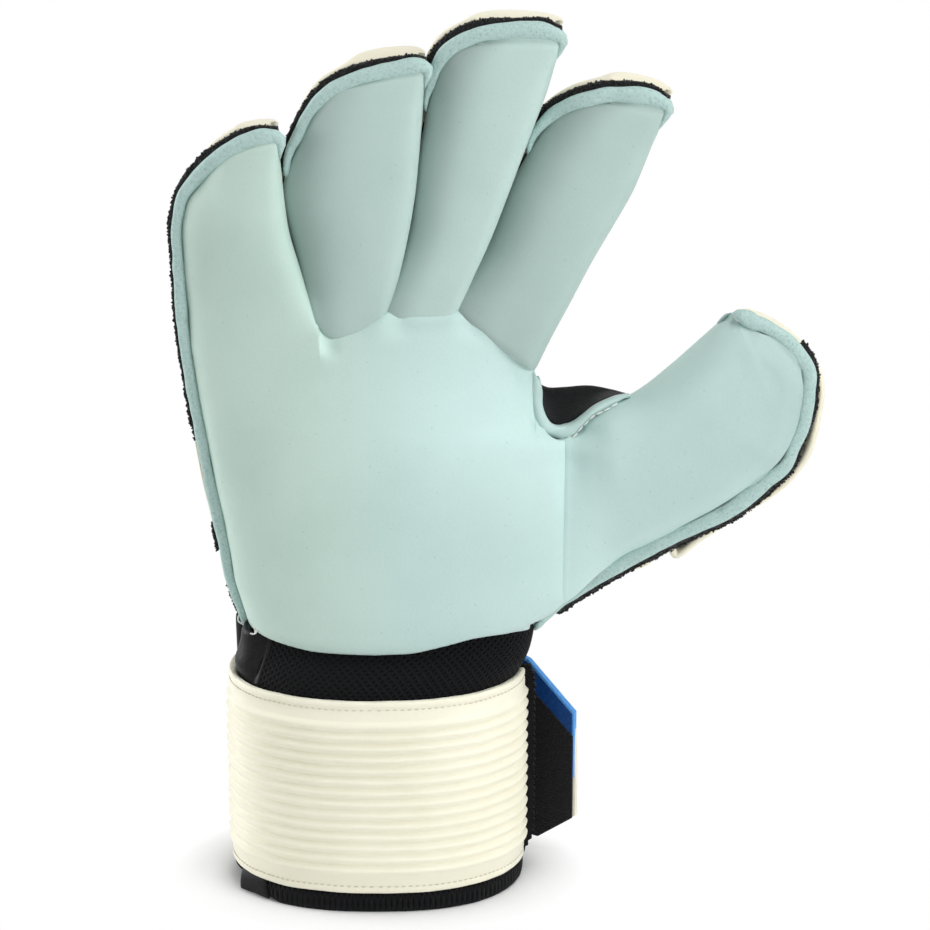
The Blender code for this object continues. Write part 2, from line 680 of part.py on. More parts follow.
def build_tab(strap_hinge):
    """Free end of the strap: hook face, latex cover and blue edge, peeling off the wrist."""
    number = wrist_place(STRAP_BACK_END)[0]
    run = (wrist_corner(number, 0.0) - wrist_corner(number + 1, 0.0)).normalized()
    normal = Vector((-run.y, run.x, 0))
    corner = wrist_point(STRAP_BACK_END, 0.0, 0.0) + run * SEAM_GAP
    frame = Matrix((run, normal, (0, 0, 1))).transposed().to_4x4()
    frame.translation = corner

    def outline(inset):
        length = TAB_LENGTH - inset
        top, bottom = STRAP_TOP - inset, STRAP_BOTTOM
        return [
            (0.0, bottom),
            (length - TAB_BOTTOM_RUN, bottom),
            (length, bottom + TAB_BOTTOM_CHAMFER),
            (length, top - TAB_TOP_CHAMFER),
            (length - TAB_TOP_RUN, top),
            (0.0, top),
        ]

    inset = TAB_TRIM_WIDTH + SEAM_GAP
    hook_near = 2 * SEAM_GAP + LOOP_PATCH_LAYER
    hook_far = hook_near + TAB_HOOK_LAYER
    cover_near = hook_far + SEAM_GAP
    cover_far = cover_near + TAB_COVER_LAYER
    stand = max(cover_far, strap_reach()) + SEAM_GAP
    place = corner + normal * stand + Vector((0, 0, STRAP_BOTTOM))
    hinge = hinge_at("tab_hinge", place - strap_hinge.location, strap_hinge)
    hook = plate("tab_hook", outline(inset), hook_near, hook_far, frame)
    cover = plate("tab_cover", outline(inset), cover_near, cover_far, frame)
    trim = plate("tab_trim", outline(0.0), cover_near, cover_far, frame)
    past = [(x - (x == 0.0) * TAB_LENGTH, z) for x, z in outline(TAB_TRIM_WIDTH)]
    past = [(x, z - (z == STRAP_BOTTOM) * TAB_TOP_CHAMFER) for x, z in past]
    past[2] = (past[2][0], past[1][1])
    cut(trim, "DIFFERENCE", plate("trim_inside", past, hook_near, cover_far + CLEAR, frame))
    for item, finish in ((hook, HOOK_FELT), (cover, STRAP_LATEX), (trim, BLUE_TRIM)):
        item.data.transform(Matrix.Translation(-strap_hinge.location))
        sub_part(item, item.name, finish, hinge)
    return hinge


def centre_on_origin():
    """Moves the glove so that the middle of its box stands on the origin."""
    bpy.context.view_layer.update()
    graph = bpy.context.evaluated_depsgraph_get()
    points = []
    for item in PARTS.objects:
        if item.type == "MESH":
            shown = item.evaluated_get(graph)
            points += [item.matrix_world @ v.co for v in shown.data.vertices]
    low = [min(p[i] for p in points) for i in range(3)]
    high = [max(p[i] for p in points) for i in range(3)]
    FRAME.location = (-(low[0] + high[0]) / 2, -(low[1] + high[1]) / 2, -low[2])
    bpy.context.view_layer.update()


def main():
    build_hand()
    hinges = [build_finger(LITTLE, FIN_WIDTH)]
    hinges += [build_finger(digit, -FIN_ROOT) for digit in (RING, MIDDLE, INDEX)]
    hinges.append(build_thumb())
    build_cuff()
    strap_hinge = build_strap()
    hinges += [strap_hinge, build_tab(strap_hinge)]
    centre_on_origin()
    for hinge in hinges:
        print(hinge.name, [round(v, 5) for v in hinge.matrix_world.translation])
    for digit in (LITTLE, RING, MIDDLE, INDEX):
        print(digit.name, "axis", [round(v, 5) for v in digit.across])


main()
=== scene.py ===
import math
import random

import bmesh
import bpy
from mathutils import Matrix, Vector, noise


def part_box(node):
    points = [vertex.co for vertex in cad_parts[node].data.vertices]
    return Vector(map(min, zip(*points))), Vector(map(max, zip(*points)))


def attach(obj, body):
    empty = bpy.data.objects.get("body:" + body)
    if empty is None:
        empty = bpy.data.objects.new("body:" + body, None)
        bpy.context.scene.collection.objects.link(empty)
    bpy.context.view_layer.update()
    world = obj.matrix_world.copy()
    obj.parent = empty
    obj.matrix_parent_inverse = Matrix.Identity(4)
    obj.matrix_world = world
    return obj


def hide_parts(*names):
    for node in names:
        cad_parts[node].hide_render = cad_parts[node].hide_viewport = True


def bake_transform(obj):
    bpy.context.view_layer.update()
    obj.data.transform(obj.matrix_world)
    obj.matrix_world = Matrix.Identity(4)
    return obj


# A right-hand goalkeeper glove of latex foam, standing on its knitted cuff, palm towards -Y.
# Lengths are millimetres in the glove's own axes, whose x = 0 is the middle of the cuff.

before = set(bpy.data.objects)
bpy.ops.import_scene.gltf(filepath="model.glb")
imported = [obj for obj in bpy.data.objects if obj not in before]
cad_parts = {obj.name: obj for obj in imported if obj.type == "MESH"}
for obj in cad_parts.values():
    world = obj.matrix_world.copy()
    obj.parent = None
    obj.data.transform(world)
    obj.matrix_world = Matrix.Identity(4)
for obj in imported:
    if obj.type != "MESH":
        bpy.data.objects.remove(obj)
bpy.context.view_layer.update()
MM = 0.001
HEM_LOW, HEM_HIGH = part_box("cuff_hem")
CUFF_X = (HEM_LOW.x + HEM_HIGH.x) / 2

# Foam and seams
SEAM_HALF = 0.9  # from the middle of a seam to the foam
FOAM_WALL = 2.6
THUMB_WALL = 0.7  # thinner, so that its lips don't stand out at the tip
EDGE_THICK = 4.4  # raw edge, front to back
EDGE_STEP = 1.0  # along a raw edge, from row to row
TERRY_SHOW = 1.8  # black terry outside the raw edge
CREAM_SHOW = 0.5  # cream back outside the terry
FINGER_FRONT = 15.0  # how far a digit stands off its seam
FINGER_BACK = 12.0
THUMB_FRONT = 15.0
THUMB_BACK = 13.0
THUMB_ROOT_BACK = 17.4
TIP_LEAN = 8.0  # how far the seams lean forward
THUMB_LEAN = 3.7
LEAN_RISE = 0.325  # rise that keeps a leaning seam in its place, seen from the front
TUCK = 2.2  # foam behind the neighbouring finger
UNDER_CURL = 3.2  # foam turned under at the right-hand seam
ROOT_SINK = 3.2  # palm below the roots of the fingers
TIP_CLOSE = ((1.2, 1.0), (2.0, 0.9), (0.6, 0.5), (-1.6, 0.0))  # (rise, depth kept) over a fingertip

# Wrist
CUFF_HALF_WIDTH = 45.5
CUFF_HALF_DEPTH = 31.5
WRIST_POWER = 2.2  # 2 is an ellipse, and more is squarer
STRAP_BOTTOM = 7.0
STRAP_TOP = 73.4
STRAP_MARGIN = 6.2  # plain border above and below the ribs
STRAP_LAYER = 2.9
STITCH_INSET = 2.5  # from the strap's edge to its row of stitches
STITCH_GROOVE = 0.25
STITCH_STEP = 2.6  # degrees round the wrist
RIB_COUNT = 14
RIB_HEIGHT = 1.2
RIB_FADE = 0.6  # share of a rib's height that is lost at the hinged end
STRAP_RIGHT_END = 355.0  # degrees round the wrist
STRAP_LEFT_END = 180.0
STRAP_BACK_END = 48.0
CUFF_ROWS = (0.2, 6, 14, 24, 34, 44, 54, 64, 70, 73, 75, 77, 79, 81, 83, 85, 87)  # heights

# Hand
PALM_BOTTOM = 86.0
HAND_HEIGHT = 103.0  # palm's foot to the knuckles
KNUCKLE_Z = 186.0
THUMB_CREASE = 60.6
FLANK = 24  # place in a roll's section where it starts to turn under

# Outlines seen from the palm, (x, z): left and right edge of each digit, root to tip
LITTLE = [
    ((-58.2, 183.0), (-17.0, 190.0)),
    ((-59.4, 196.0), (-19.8, 199.0)),
    ((-59.7, 209.0), (-22.8, 209.0)),
    ((-59.6, 222.0), (-25.7, 219.5)),
    ((-57.4, 230.0), (-27.0, 229.0)),
    ((-52.1, 235.8), (-27.7, 236.5)),
    ((-45.5, 240.8), (-28.3, 242.5)),
    ((-38.5, 244.6), (-28.7, 246.8)),
]
RING = [
    ((-16.4, 191.0), (4.6, 194.0)),
    ((-19.2, 201.0), (7.6, 203.5)),
    ((-23.4, 215.5), (10.8, 217.0)),
    ((-26.4, 230.0), (13.4, 232.0)),
    ((-25.6, 241.0), (14.9, 247.0)),
    ((-21.0, 250.5), (15.8, 257.0)),
    ((-12.9, 260.4), (16.3, 264.0)),
    ((-3.0, 264.9), (16.4, 268.5)),
]
MIDDLE = [
    ((5.8, 194.2), (26.6, 194.6)),
    ((8.6, 204.0), (31.0, 205.0)),
    ((12.0, 216.0), (36.5, 217.5)),
    ((14.4, 232.0), (42.0, 232.0)),
    ((15.9, 247.0), (47.3, 246.5)),
    ((16.8, 258.3), (51.8, 258.6)),
    ((19.6, 266.5), (55.0, 267.0)),
    ((25.0, 274.0), (57.0, 273.5)),
    ((33.0, 277.8), (57.9, 277.6)),
]
INDEX = [
    ((27.6, 194.8), (51.5, 177.0)),
    ((31.6, 204.0), (55.9, 186.5)),
    ((37.2, 214.5), (61.5, 197.5)),
    ((42.4, 227.0), (68.0, 210.5)),
    ((46.4, 238.3), (74.5, 222.0)),
    ((49.9, 247.6), (80.0, 231.8)),
    ((55.5, 253.7), (84.8, 242.5)),
    ((64.0, 257.5), (88.3, 250.5)),
    ((74.0, 259.2), (90.6, 256.6)),
]
THUMB = [
    ((60.7, 152.6), (59.6, 98.4)),
    ((66.5, 157.2), (70.1, 105.7)),
    ((74.5, 162.6), (82.5, 113.2)),
    ((84.0, 167.6), (95.0, 120.1)),
    ((93.5, 175.4), (107.0, 127.0)),
    ((101.5, 182.8), (117.5, 134.0)),
    ((107.5, 188.4), (126.0, 141.0)),
    ((112.4, 192.6), (131.6, 148.8)),
    ((114.2, 191.8), (134.2, 157.0)),
    ((118.0, 188.0), (135.4, 167.5)),
    ((125.0, 185.0), (134.2, 174.6)),
]
THUMB_REAR = [
    ((61.0, 154.5), (61.5, 92.6)),
    ((72.0, 158.5), (72.5, 98.4)),
    ((81.5, 162.5), (82.1, 104.4)),
    ((86.0, 165.5), (88.8, 107.4)),
    ((88.5, 167.5), (90.6, 110.8)),
    ((91.0, 169.5), (93.4, 112.2)),
    ((93.0, 171.2), (95.9, 109.0)),
    ((98.5, 175.8), (105.1, 115.1)),
    ((106.0, 182.4), (118.6, 124.1)),
    ((111.0, 187.6), (131.6, 133.4)),
    ((114.2, 190.8), (139.0, 143.6)),
    ((117.0, 192.4), (141.9, 155.8)),
    ((121.2, 191.0), (142.6, 168.4)),
    ((128.2, 187.0), (138.4, 178.8)),
]
PALM_LEFT = [
    (-41.3, 88.6),
    (-43.5, 96.3),
    (-45.9, 104.2),
    (-46.8, 112.1),
    (-48.8, 124.7),
    (-50.8, 134.1),
    (-53.3, 149.5),
    (-56.0, 166.0),
    (-58.2, 183.0),
]
PALM_RIGHT = [
    (50.8, 85.6),
    (52.8, 90.2),
    (54.8, 93.2),
    (57.8, 96.5),
    (59.6, 98.4),
    (60.2, 116.0),
    (60.9, 138.0),
    (60.7, 152.5),
]
PALM_FOOT = [
    (-41.3, 88.6),
    (-36.3, 88.0),
    (-30.0, 87.2),
    (-20.0, 86.0),
    (0.0, 85.8),
    (12.0, 86.3),
    (24.0, 88.8),
    (30.3, 90.1),
    (36.7, 90.4),
    (43.1, 90.0),
    (45.7, 89.5),
    (47.7, 88.8),
    (49.0, 88.0),
    (50.1, 86.6),
    (50.8, 85.6),
]
PALM_TOP = [
    (-58.2, 183.0),
    (-17.0, 190.0),
    (-14.8, 188.0),
    (-11.1, 186.9),
    (-7.0, 187.8),
    (4.8, 194.2),
    (15.0, 194.0),
    (26.6, 195.0),
    (39.6, 187.6),
    (49.5, 178.6),
    (51.2, 175.0),
    (51.1, 165.8),
    (52.4, 159.8),
    (55.0, 155.4),
    (58.2, 153.4),
    (60.7, 152.5),
]
LITTLE_SHARE = 0.36

# Raw edge outside each seam: (x, z, width, lean forward), along the seam with the digit on the right
EDGES = {
    "little": [
        (-40.2, 85.0, 1.6, 0.0),
        (-41.4, 88.3, 2.0, 0.0),
        (-43.5, 96.3, 2.6, 0.0),
        (-45.9, 104.2, 2.9, 0.0),
        (-46.8, 112.1, 3.2, 0.0),
        (-48.8, 124.7, 3.6, 0.0),
        (-50.8, 134.1, 3.6, 0.0),
        (-53.3, 149.5, 3.3, 0.0),
        (-56.0, 166.0, 3.2, 0.0),
        (-58.2, 183.0, 3.2, 0.0),
        (-59.7, 209.0, 2.9, 0.0),
        (-59.6, 222.5, 3.0, 0.0),
        (-57.0, 230.5, 3.5, 0.4),
        (-52.1, 235.8, 3.8, 1.6),
        (-45.5, 240.8, 4.0, 5.2),
        (-38.5, 244.6, 4.0, 7.0),
        (-31.0, 246.6, 3.9, 7.6),
        (-28.9, 246.6, 3.3, 7.4),
        (-28.4, 244.2, 1.6, 6.8),
        (-28.1, 241.2, 0.4, 6.0),
    ],
    "ring": [
        (-25.9, 236.0, 1.6, 0.0),
        (-25.3, 241.5, 2.2, 0.2),
        (-21.0, 250.5, 2.8, 1.4),
        (-12.9, 260.4, 3.4, 5.2),
        (-3.0, 264.9, 3.8, 7.0),
        (8.0, 267.4, 3.9, 8.0),
        (14.6, 268.6, 3.7, 8.0),
        (16.3, 268.3, 3.1, 7.6),
        (16.5, 266.0, 1.4, 7.0),
        (16.4, 263.0, 0.4, 6.2),
    ],
    "middle": [
        (16.6, 257.0, 0.6, 0.2),
        (17.4, 261.5, 1.8, 0.6),
        (19.6, 266.5, 2.9, 1.8),
        (25.0, 274.0, 4.0, 5.6),
        (33.0, 277.8, 4.2, 7.2),
        (43.0, 279.0, 4.3, 8.0),
        (55.0, 278.1, 4.0, 8.0),
        (57.4, 277.6, 2.6, 7.6),
        (57.4, 275.4, 1.3, 6.9),
        (56.0, 271.6, 0.3, 6.0),
    ],
    "index": [
        (48.2, 243.6, 0.8, 0.1),
        (49.9, 247.6, 2.0, 0.3),
        (55.5, 253.7, 3.3, 1.8),
        (64.0, 257.5, 4.1, 5.6),
        (74.0, 259.3, 4.1, 7.2),
        (87.6, 257.5, 3.8, 8.0),
        (89.8, 256.7, 2.6, 7.6),
        (89.0, 253.8, 1.4, 6.9),
        (86.8, 249.2, 0.3, 6.0),
    ],
    "thumb": [
        (112.2, 191.4, 1.8, 3.4),
        (113.4, 191.2, 3.0, 3.5),
        (115.0, 190.0, 4.0, 3.6),
        (118.0, 187.9, 4.5, 3.7),
        (121.3, 187.2, 3.8, 3.7),
        (124.2, 185.6, 3.6, 3.7),
        (127.6, 183.0, 3.8, 3.7),
        (132.5, 177.8, 4.2, 3.7),
        (135.3, 171.3, 4.2, 3.7),
        (135.4, 167.2, 4.1, 3.7),
        (134.7, 159.6, 4.1, 3.7),
        (134.0, 155.7, 3.8, 3.7),
        (131.8, 149.2, 3.4, 3.7),
        (128.8, 143.2, 4.0, 3.7),
        (123.5, 139.1, 4.6, 3.7),
        (116.8, 133.4, 5.0, 3.7),
        (110.6, 128.7, 5.0, 3.7),
        (100.9, 123.4, 4.4, 3.7),
        (85.0, 114.7, 4.2, 3.2),
        (69.0, 105.0, 4.0, 1.6),
        (60.6, 98.9, 3.7, 0.4),
        (54.6, 93.1, 2.9, 0.0),
        (50.7, 86.6, 1.7, 0.0),
    ],
}


def at(x, y, z):
    """A point of the glove's own axes, in the frame."""
    return Vector((CUFF_X + x * MM, y * MM, z * MM))


def smooth(value):
    value = min(1.0, max(0.0, value))
    return value * value * (3 - 2 * value)


def mix(first, last, share):
    return first + (last - first) * share


def read(points, place):
    """Second value of a list of pairs at a place along its first."""
    for (a0, b0), (a1, b1) in zip(points, points[1:]):
        if place <= a1:
            return mix(b0, b1, (place - a0) / (a1 - a0))
    return points[-1][1]


def rough(x, z, size, seed=0.0):
    """Steady unevenness between -1 and 1, with features of a size in millimetres."""
    return noise.noise(Vector((x / size, z / size, seed)))


def spline(points, share):
    """Point on a smooth curve through the given points, however unevenly they are spaced."""
    last = len(points) - 1
    place = min(max(share, 0.0), 1.0) * last
    i = min(int(place), last - 1)
    t = place - i
    before, first, second, after = (Vector(points[min(max(i + k, 0), last)]) for k in (-1, 0, 1, 2))
    span = (second - first).length
    slopes = []
    for a, b, c in ((before, first, second), (first, second, after)):
        near, far = max((b - a).length, 1e-6), max((c - b).length, 1e-6)
        if a == b or b == c:
            slopes.append((c - a) * (span / (near + far)))
        else:
            slopes.append(((b - a) * (far / near) + (c - b) * (near / far)) * (span / (near + far)))
    return (
        first * (2 * t**3 - 3 * t**2 + 1)
        + slopes[0] * (t**3 - 2 * t**2 + t)
        + second * (3 * t**2 - 2 * t**3)
        + slopes[1] * (t**3 - t**2)
    )


def evenly(points, count):
    """Points at even distances along the smooth curve through the given points."""
    fine = [spline(points, i / 600) for i in range(601)]
    run = [0.0]
    for first, second in zip(fine, fine[1:]):
        run.append(run[-1] + (second.xy - first.xy).length)
    made, i = [], 0
    for k in range(count):
        want = run[-1] * k / (count - 1)
        while i < 599 and run[i + 1] < want:
            i += 1
        made.append(fine[i].lerp(fine[i + 1], (want - run[i]) / max(run[i + 1] - run[i], 1e-9)))
    return made


def outward(points):
    """Unit directions to the left of travel along a flat path."""
    sides = []
    for i in range(len(points)):
        run = points[min(i + 1, len(points) - 1)].xy - points[max(i - 1, 0)].xy
        sides.append(Vector((-run.y, run.x)).normalized())
    return sides


def sweep(bm, rows, ring=False, start=None):
    """Draws the first row of points and extrudes it through the others; returns all rows."""
    line = start or [bm.verts.new(p) for p in rows[0]]
    edges = []
    for pair in zip(line, line[1:] + line[:1] if ring else line[1:]):
        edges.append(bm.edges.get(pair) or bm.edges.new(pair))
    made = [line]
    for row in rows[1:]:
        grown = bmesh.ops.extrude_edge_only(bm, edges=edges)["geom"]
        fresh = {v for v in grown if isinstance(v, bmesh.types.BMVert)}
        step = {}
        for v in line:
            step[v] = next(e.other_vert(v) for e in v.link_edges if e.other_vert(v) in fresh)
        edges = [bm.edges.get((step[e.verts[0]], step[e.verts[1]])) for e in edges]
        line = [step[v] for v in line]
        for v, place in zip(line, row):
            v.co = place
        made.append(line)
    return made


def close_ends(bm):
    bmesh.ops.holes_fill(bm, edges=[e for e in bm.edges if e.is_boundary])


def lay_map(bm, rows, wrap=False):
    """A map in metres over swept rows: u along each row, v from row to row."""
    layer = bm.loops.layers.uv.new("cloth")
    place = {}
    count = len(rows[0])
    middle = len(rows) // 2
    run = [0.0]
    for i in range(count):
        run.append(run[-1] + (rows[middle][(i + 1) % count].co - rows[middle][i].co).length)
    rise = 0.0
    for k, row in enumerate(rows):
        if k:
            rise += (row[count // 2].co - rows[k - 1][count // 2].co).length
        for i, v in enumerate(row):
            place[v] = (run[i], rise)
    for face in bm.faces:
        spots = [place.get(loop.vert, (0.0, 0.0)) for loop in face.loops]
        widest = max(u for u, _ in spots)
        for loop, (u, v) in zip(face.loops, spots):
            if wrap and widest - u > run[count] / 2:
                u += run[count]
            loop[layer].uv = (u, v)


def piece(name, bm, look, towards=None, angle=60.0):
    """Turns a bmesh into an object of the scene, its faces outwards, shaded smooth."""
    if towards is None:
        bmesh.ops.recalc_face_normals(bm, faces=bm.faces)
    else:
        bm.normal_update()
        lean = sum(((f.normal * f.calc_area()) for f in bm.faces), Vector())
        if lean.dot(towards) < 0:
            bmesh.ops.reverse_faces(bm, faces=bm.faces)
    mesh = bpy.data.meshes.new(name)
    bm.to_mesh(mesh)
    bm.free()
    mesh.shade_smooth()
    mesh.set_sharp_from_angle(angle=math.radians(angle))
    made = bpy.data.objects.new(name, mesh)
    bpy.context.scene.collection.objects.link(made)
    mesh.materials.append(look)
    return made


def foam_mesh():
    """An empty bmesh whose points carry painted light and shade for the foam's colour."""
    bm = bmesh.new()
    bm.verts.layers.float_vector.new("painted_shading")
    return bm


def paint_shading(bm, rows, rule):
    """Paints light and shade into the foam's colour, by (row, place in the row)."""
    layer = bm.verts.layers.float_vector["painted_shading"]
    for v in bm.verts:
        v[layer] = (1.0, 1.0, 1.0)
    for k, row in enumerate(rows):
        for n, v in enumerate(row):
            v[layer] = rule(k, n)


def wall(made, thickness, levels=1):
    """Gives a skin its foam thickness, on the inside, and rounds it."""
    solid = made.modifiers.new("foam", "SOLIDIFY")
    solid.thickness = thickness * MM
    solid.offset = -1.0
    if levels:
        round_off = made.modifiers.new("rounding", "SUBSURF")
        round_off.levels = levels
        round_off.render_levels = levels
    return made


# Materials


def colour(code):
    channels = [int(code[i : i + 2], 16) / 255 for i in (0, 2, 4)]
    return (*[c / 12.92 if c < 0.04045 else ((c + 0.055) / 1.055) ** 2.4 for c in channels], 1.0)


def add(tree, kind, inputs=(), **settings):
    """Adds a node; inputs maps socket names to values or to the sockets that feed them."""
    made = tree.nodes.new(kind)
    for key, value in settings.items():
        setattr(made, key, value)
    for key, value in dict(inputs).items():
        if isinstance(value, bpy.types.NodeSocket):
            tree.links.new(value, made.inputs[key])
        else:
            made.inputs[key].default_value = value
    return made


def finish(name, **values):
    """A material with one shader whose even values are set on its own sockets."""
    made = bpy.data.materials.new(name)
    made.use_nodes = True
    shader = made.node_tree.nodes["Principled BSDF"]
    for key, value in values.items():
        shader.inputs[key.replace("_", " ")].default_value = value
    return made, made.node_tree, shader


def tones(tree, factor, stops):
    """A colour ramp from (place, sRGB code) stops."""
    ramp = add(tree, "ShaderNodeValToRGB", {"Fac": factor})
    while len(ramp.color_ramp.elements) < len(stops):
        ramp.color_ramp.elements.new(0.5)
    for element, (place, code) in zip(ramp.color_ramp.elements, stops):
        element.position = place
        element.color = colour(code)
    return ramp.outputs["Color"]


def per_mm(size):
    """Texture scale whose features are about a size in millimetres."""
    return 1000.0 / size


def latex_foam(name, stops, pore, depth, roughness, specks, with_painted_shading=False):
    """Latex foam poured flat: an even matt skin with fine pores, slow shifts of tone and a few dark flecks,
    and on request light and shade painted in from the mesh.

    The pores are drawn two to three times their real size, so that they show.
    """
    made, tree, shader = finish(name, Roughness=roughness, IOR=1.45, Sheen_Weight=0.12, Sheen_Roughness=0.6)
    place = add(tree, "ShaderNodeTexCoord").outputs["Object"]
    drift = add(tree, "ShaderNodeTexNoise", {"Vector": place, "Scale": per_mm(28), "Detail": 3.0})
    grain = add(tree, "ShaderNodeTexNoise", {"Vector": place, "Scale": per_mm(pore), "Detail": 2.0})
    blend = add(tree, "ShaderNodeMath", {0: grain.outputs["Fac"], 1: specks}, operation="MULTIPLY")
    both = add(tree, "ShaderNodeMath", {0: drift.outputs["Fac"], 1: blend.outputs[0]}, operation="ADD")
    shade = tones(tree, both.outputs[0], stops)
    if with_painted_shading:
        flecks = add(tree, "ShaderNodeTexVoronoi", {"Vector": place, "Scale": per_mm(4.2)})
        spots = {"Value": flecks.outputs["Distance"], "From Min": 0.03, "From Max": 0.09, "To Min": 0.84}
        level = add(tree, "ShaderNodeMapRange", spots, clamp=True).outputs["Result"]
        # Painted light and shade: the colour is multiplied by the light and shade painted into the mesh's
        # points.
        deep = add(tree, "ShaderNodeAttribute", attribute_name="painted_shading").outputs["Vector"]
        shade = add(tree, "ShaderNodeVectorMath", {0: shade, 1: deep}, operation="MULTIPLY").outputs[0]
        shade = add(tree, "ShaderNodeVectorMath", {0: shade, "Scale": level}, operation="SCALE").outputs[0]
    tree.links.new(shade, shader.inputs["Base Color"])
    relief = {"Height": grain.outputs["Fac"], "Strength": depth, "Distance": 0.3 * MM}
    bump = add(tree, "ShaderNodeBump", relief)
    tree.links.new(bump.outputs["Normal"], shader.inputs["Normal"])
    return made


def cut_foam(name, stops):
    """The cut edge of latex foam: uneven open cells under a millimetre wide, with painted shade inside them.
    """
    made, tree, shader = finish(name, Roughness=0.85, IOR=1.45)
    place = add(tree, "ShaderNodeTexCoord").outputs["Object"]
    holes = {"Vector": place, "Scale": per_mm(0.8), "Detail": 4.0, "Roughness": 0.65}
    cells = add(tree, "ShaderNodeTexNoise", holes)
    tree.links.new(tones(tree, cells.outputs["Fac"], stops), shader.inputs["Base Color"])
    relief = {"Height": cells.outputs["Fac"], "Strength": 0.5, "Distance": 0.8 * MM}
    bump = add(tree, "ShaderNodeBump", relief)
    tree.links.new(bump.outputs["Normal"], shader.inputs["Normal"])
    return made


def pile(name, stops, size, depth, sheen):
    """Looped or brushed black pile: a broken, light-eating surface."""
    made, tree, shader = finish(name, Roughness=0.95, IOR=1.4, Sheen_Weight=sheen, Sheen_Roughness=0.5)
    place = add(tree, "ShaderNodeTexCoord").outputs["Object"]
    loops = add(tree, "ShaderNodeTexVoronoi", {"Vector": place, "Scale": per_mm(size)})
    fuzz = add(tree, "ShaderNodeTexNoise", {"Vector": place, "Scale": per_mm(size / 2), "Detail": 4.0})
    parts = {0: fuzz.outputs["Fac"], 1: loops.outputs["Distance"]}
    height = add(tree, "ShaderNodeMath", parts, operation="SUBTRACT")
    tree.links.new(tones(tree, height.outputs[0], stops), shader.inputs["Base Color"])
    relief = {"Height": height.outputs[0], "Strength": depth, "Distance": 0.8 * MM}
    bump = add(tree, "ShaderNodeBump", relief)
    tree.links.new(bump.outputs["Normal"], shader.inputs["Normal"])
    return made


def knit(name, stops, across, along):
    """Knitted elastic: rows of slanted stitches along the cloth's own map.

    The stitches are drawn about twice their real size, so that they show.
    """
    dry = {"Sheen_Weight": 0.02, "Sheen_Roughness": 0.45, "Specular_IOR_Level": 0.25}
    made, tree, shader = finish(name, Roughness=0.9, IOR=1.35, **dry)
    place = add(tree, "ShaderNodeUVMap", uv_map="cloth").outputs["UV"]
    axes = add(tree, "ShaderNodeSeparateXYZ", {0: place})
    waves = []
    for lean in (1.0, -1.0):
        turns = []
        for axis, rate in (("X", per_mm(across)), ("Y", lean * per_mm(along))):
            wave = {0: axes.outputs[axis], 1: 2 * math.pi * rate}
            turns.append(add(tree, "ShaderNodeMath", wave, operation="MULTIPLY").outputs[0])
        turn = add(tree, "ShaderNodeMath", {0: turns[0], 1: turns[1]}, operation="ADD")
        waves.append(add(tree, "ShaderNodeMath", {0: turn.outputs[0]}, operation="SINE").outputs[0])
    weave = add(tree, "ShaderNodeMath", {0: waves[0], 1: waves[1]}, operation="MAXIMUM")
    fuzz = add(tree, "ShaderNodeTexNoise", {"Vector": place, "Scale": per_mm(0.7), "Detail": 3.0})
    height = add(tree, "ShaderNodeMath", {0: weave.outputs[0], 1: fuzz.outputs["Fac"]}, operation="ADD")
    tree.links.new(tones(tree, height.outputs[0], stops), shader.inputs["Base Color"])
    relief = {"Height": height.outputs[0], "Strength": 0.7, "Distance": 0.6 * MM}
    bump = add(tree, "ShaderNodeBump", relief)
    tree.links.new(bump.outputs["Normal"], shader.inputs["Normal"])
    return made


def leatherette(name, stops):
    """Coated cloth: satin black with a fine pressed grain."""
    made, tree, shader = finish(name, Roughness=0.45, IOR=1.5, Specular_IOR_Level=0.14)
    place = add(tree, "ShaderNodeTexCoord").outputs["Object"]
    grain = add(tree, "ShaderNodeTexVoronoi", {"Vector": place, "Scale": per_mm(0.9)}, feature="SMOOTH_F1")
    tree.links.new(tones(tree, grain.outputs["Distance"], stops), shader.inputs["Base Color"])
    relief = {"Height": grain.outputs["Distance"], "Strength": 0.25, "Distance": 0.3 * MM}
    bump = add(tree, "ShaderNodeBump", relief)
    tree.links.new(bump.outputs["Normal"], shader.inputs["Normal"])
    return made


# Dyed foam of the palm side: pale blue-green, soft and even, almost without shine
PALM_STOPS = [(0.25, "B7D3CE"), (0.8, "C2DCD8")]
# Its colour also carries the light and shade painted into each piece's mesh.
PALM_FOAM = latex_foam("palm_latex_foam", PALM_STOPS, 0.8, 0.16, 0.62, 0.35, with_painted_shading=True)
# Undyed foam of the backs: warm cream with the same dull skin
CREAM_STOPS = [(0.25, "F0EACD"), (0.8, "F9F5E0")]
CREAM_FOAM = latex_foam("cream_latex_foam", CREAM_STOPS, 0.9, 0.16, 0.60, 0.25)
# Latex pressed in a ribbed mould: smoother, so that the ribs catch a faint light
STRAP_STOPS = [(0.2, "F3EFD7"), (0.8, "FAF7E3")]
STRAP_LATEX = latex_foam("moulded_cream_latex", STRAP_STOPS, 1.1, 0.12, 0.50, 0.35)
# Palm foam where it was cut: crumbly, with small shadows in its open cells
EDGE_FOAM = cut_foam("cut_palm_foam", [(0.30, "9AB9B5"), (0.43, "B6D3CE"), (0.7, "C5DEDA")])
# Terry in the seams: black loops, a little grey where the light grazes them
TERRY = pile("black_terry", [(0.0, "0B0B0C"), (0.6, "222327")], 0.9, 0.8, 0.2)
# Stretch cloth of the thumb's web: a closer, smoother black than terry
WEB_CLOTH = pile("black_stretch_cloth", [(0.0, "0D0E10"), (0.6, "1B1C20")], 0.6, 0.35, 0.15)
# Hook and loop tape: a dense pile, the darkest thing on the glove
HOOK_PILE = pile("black_hook_pile", [(0.0, "09090A"), (0.6, "17181A")], 0.7, 0.6, 0.1)
